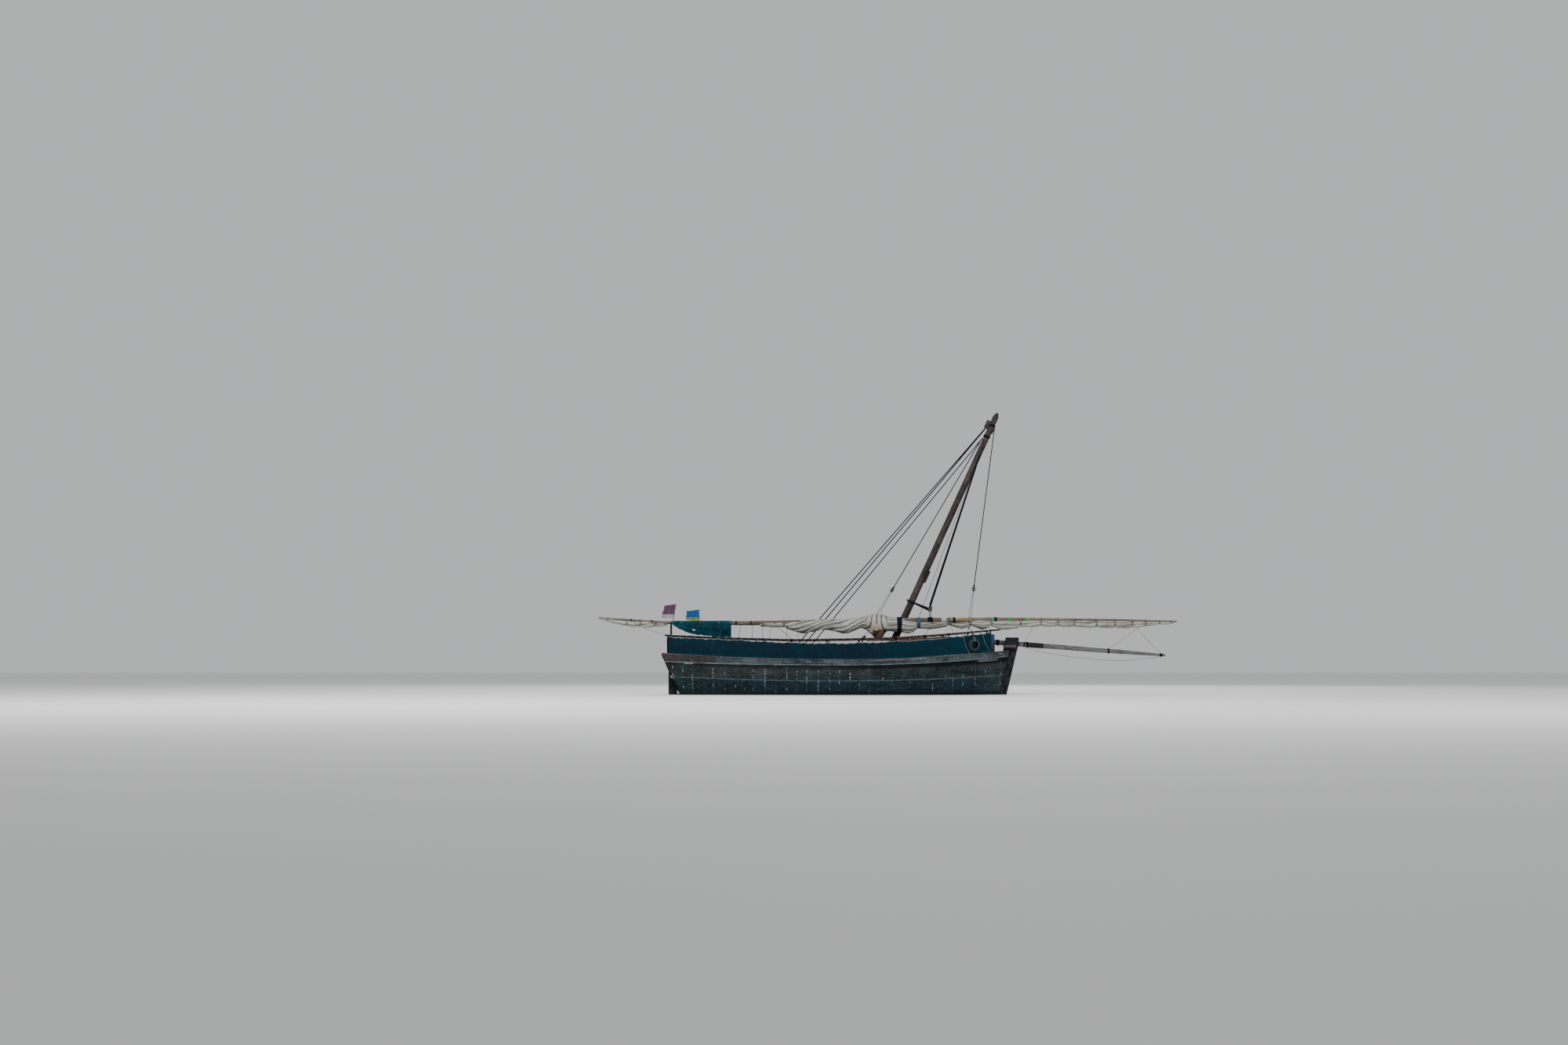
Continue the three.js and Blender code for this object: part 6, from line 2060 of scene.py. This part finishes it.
def make_tyre():
    """Worn car tyre with grooved tread and beads, hung by a rope from the rail; a pale ring on each face is a
    painted highlight along its inner edge.
    """
    shape = Shape()
    slope = (sheer_half(6.57) - sheer_half(5.97)) / 0.6
    turn = Matrix.Rotation(math.atan(-slope), 3, "Z")
    low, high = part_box("tyre_fender")
    centre = (low + high) / 2
    # Radius and place across the tyre, from one bead to the other and back inside
    profile = [(0.184, -0.066), (0.19, -0.078), (0.215, -0.086), (0.245, -0.09), (0.272, -0.082),
               (0.292, -0.066), (0.299, -0.048), (0.3, -0.03), (0.293, -0.028), (0.293, -0.022),
               (0.3, -0.02), (0.3, -0.004), (0.293, -0.003), (0.293, 0.003), (0.3, 0.004), (0.3, 0.02),
               (0.293, 0.022), (0.293, 0.028), (0.3, 0.03), (0.299, 0.048), (0.292, 0.066), (0.272, 0.082),
               (0.245, 0.09), (0.215, 0.086), (0.19, 0.078), (0.184, 0.066), (0.196, 0.06), (0.235, 0.07),
               (0.272, 0.05), (0.279, 0.0), (0.272, -0.05), (0.235, -0.07), (0.196, -0.06)]
    rows = []
    for k, (c, s) in enumerate(circle(72)):
        notch = 0.006 if k % 3 == 0 else 0.0
        row = []
        for r, across in profile:
            out = r - (notch if r > 0.288 and 0.030 <= abs(across) <= 0.067 else 0)
            row.append(centre + turn @ Vector((out * c, across, out * s)))
        rows.append(row)
    shape.grid(rows + [rows[0]], True)
    shape.corners, shape.faces, shape.uvs = weld(shape)
    shape.piece("tyre_carcass", "tyre_rubber", replaces=["tyre_fender"], crease=SHARP)
    # Pale ring on both faces: a painted highlight along the tyre's inner edge
    ring = Shape()
    for off in (-0.076, 0.076):
        path = []
        for k in range(49):
            a = 2 * math.pi * k / 48
            path.append(centre + turn @ Vector((0.206 * math.cos(a), off * 1.16, 0.206 * math.sin(a))))
        ring.tube(path, 0.010, 6)
    ring.piece("tyre_highlight_ring", "pale_rope", "blue_tape")
    rope = Shape()
    top = Vector((6.30, -rail_y(6.30), rail_z(6.30)))
    sling = [top + Vector((0, -0.045, 0.03)), top + Vector((-0.02, -0.075, -0.10)),
             centre + turn @ Vector((0.0, -0.035, 0.285)), centre + turn @ Vector((0.0, -0.03, 0.262))]
    rope.tube(curve_through(sling, 0.05), 0.011, 7)
    rope.turns(centre + turn @ Vector((0, 0, 0.242)), turn @ Vector((1, 0, 0)), 0.1, 0.011, 1.5, 0.02, 6,
               20)
    rope.turns(top, (1, 0, 0.1), RAIL_R + 0.012, 0.011, 3)
    for path in (((5.77, 2.66), (5.90, 2.36), (6.04, 2.06)), ((6.72, 2.78), (6.85, 2.50), (7.02, 2.20))):
        line = [(x, -(rail_y(x) + POST_R + 0.065), z) for x, z in path]
        line[0] = (line[0][0], -(rail_y(line[0][0]) + 0.05), rail_z(line[0][0]) - 0.01)
        rope.tube(curve_through(line
                                + [(line[-1][0] + 0.02, line[-1][1] + 0.012,
                                    sheer_z(line[-1][0]) + 0.012)], 0.06), 0.009, 6)
    rope.piece("fender_ropes", "pale_rope")


def make_drum():
    """Plastic drum with rolling hoops, a rim and two bungs."""
    shape = Shape()
    x, y, r = 7.130, -0.330, 0.285
    low = sheer_z(x + r) - 0.060 + 0.0003
    profile = [(0.0, r - 0.03), (0.012, r - 0.012), (0.04, r - 0.004), (0.1, r - 0.006), (0.245, r - 0.006),
               (0.262, r), (0.3, r), (0.317, r - 0.006), (0.56, r - 0.006), (0.577, r), (0.615, r),
               (0.632, r - 0.006), (0.79, r - 0.006), (0.83, r - 0.014), (0.845, r - 0.026),
               (0.852, r - 0.004), (0.87, r - 0.002), (0.88, r - 0.008), (0.88, r - 0.03),
               (0.858, r - 0.038)]
    shape.loft([[(x + out * c, y + out * s, low + up) for c, s in circle(40)] for up, out in profile])
    for dx, dy in ((0.17, 0.0), (-0.17, 0.02)):
        bung = ((0, 0.032), (0.008, 0.032), (0.011, 0.028), (0.011, 0.016), (0.006, 0.014))
        shape.loft([[(x + dx + out * c, y + dy + out * s, low + 0.857 + up) for c, s in circle(14)]
                    for up, out in bung])
    shape.piece("drum_shell", "blue_plastic", replaces=["drum"], crease=SHARP)


RUDDER_AXIS_X = -7.58024


def make_rudder_irons():
    """Iron straps on both faces of the rudder at each lug, and the lashing that holds the tiller."""
    shape = Shape()
    for z, aft in ((-0.55, -8.02), (0.26, -8.12), (0.95, -8.12)):
        hinge = RUDDER_AXIS_X - STERN_RAKE * z
        for side in (-1, 1):
            shape.block(((hinge - 0.035 + aft) / 2, side * 0.044, z), (hinge - 0.035 - aft, 0.01, 0.055),
                        None, 0.003)
    shape.piece("rudder_straps", "tarred_planking", "tarred_post", body="rudder", crease=SHARP)
    rope = Shape()
    rope.turns((-8.36, 0, 1.775), (1, 0, 0.1), 0.036, 0.007, 5)
    rope.piece("tiller_lashing", "dark_rope", body="rudder")


SLACK_R = 0.012


def make_slack_line():
    """The one free rope: it hangs between two points of the bowsprit's underside."""
    points = [(9.007, 2.248), (9.2, 2.17), (9.5, 2.085), (9.9, 2.0), (10.3, 1.928), (10.7, 1.865),
              (11.2, 1.795), (11.7, 1.735), (12.2, 1.685), (12.7, 1.65), (13.2, 1.63), (13.7, 1.632),
              (14.2, 1.66), (14.7, 1.708), (15.1, 1.758), (15.42, 1.819)]
    path = curve_through([(x, BOWSPRIT_Y, z) for x, z in points], 0.06)
    shape = Shape()
    shape.tube(path, SLACK_R, 10)
    line = shape.piece("slack_line_rope", "pale_rope", replaces=["slack_line"])


def paint_packed():
    """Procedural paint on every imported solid, by its slot."""
    for node, obj in frame["nodes"].items():
        paint = NODE_PAINT.get(node) or SLOT_PAINT[SLOTS[node]]
        obj.data.materials.clear()
        obj.data.materials.append(PAINTS[paint].material)


make_camera()
make_paints()
make_slack_line()
make_stage()
paint_packed()
for side_name, side_sign in SIDES:
    make_planking(side_name, side_sign)
    make_wale(side_name, side_sign)
    make_cap(side_name, side_sign)
make_nails()
make_chafing()
for worn_node, edge_width in WORN.items():
    make_worn(worn_node, edge_width)
make_decks()
make_rails()
make_rail_board()
make_wash_cloths()
make_sails()
make_flap()
make_spars()
make_tarp()
make_flags()
make_yard_fittings()
make_stays()
make_masthead()
make_halyard()
make_sling()
make_yard_lines()
make_bow_fittings()
make_tyre()
make_drum()
make_rudder_irons()
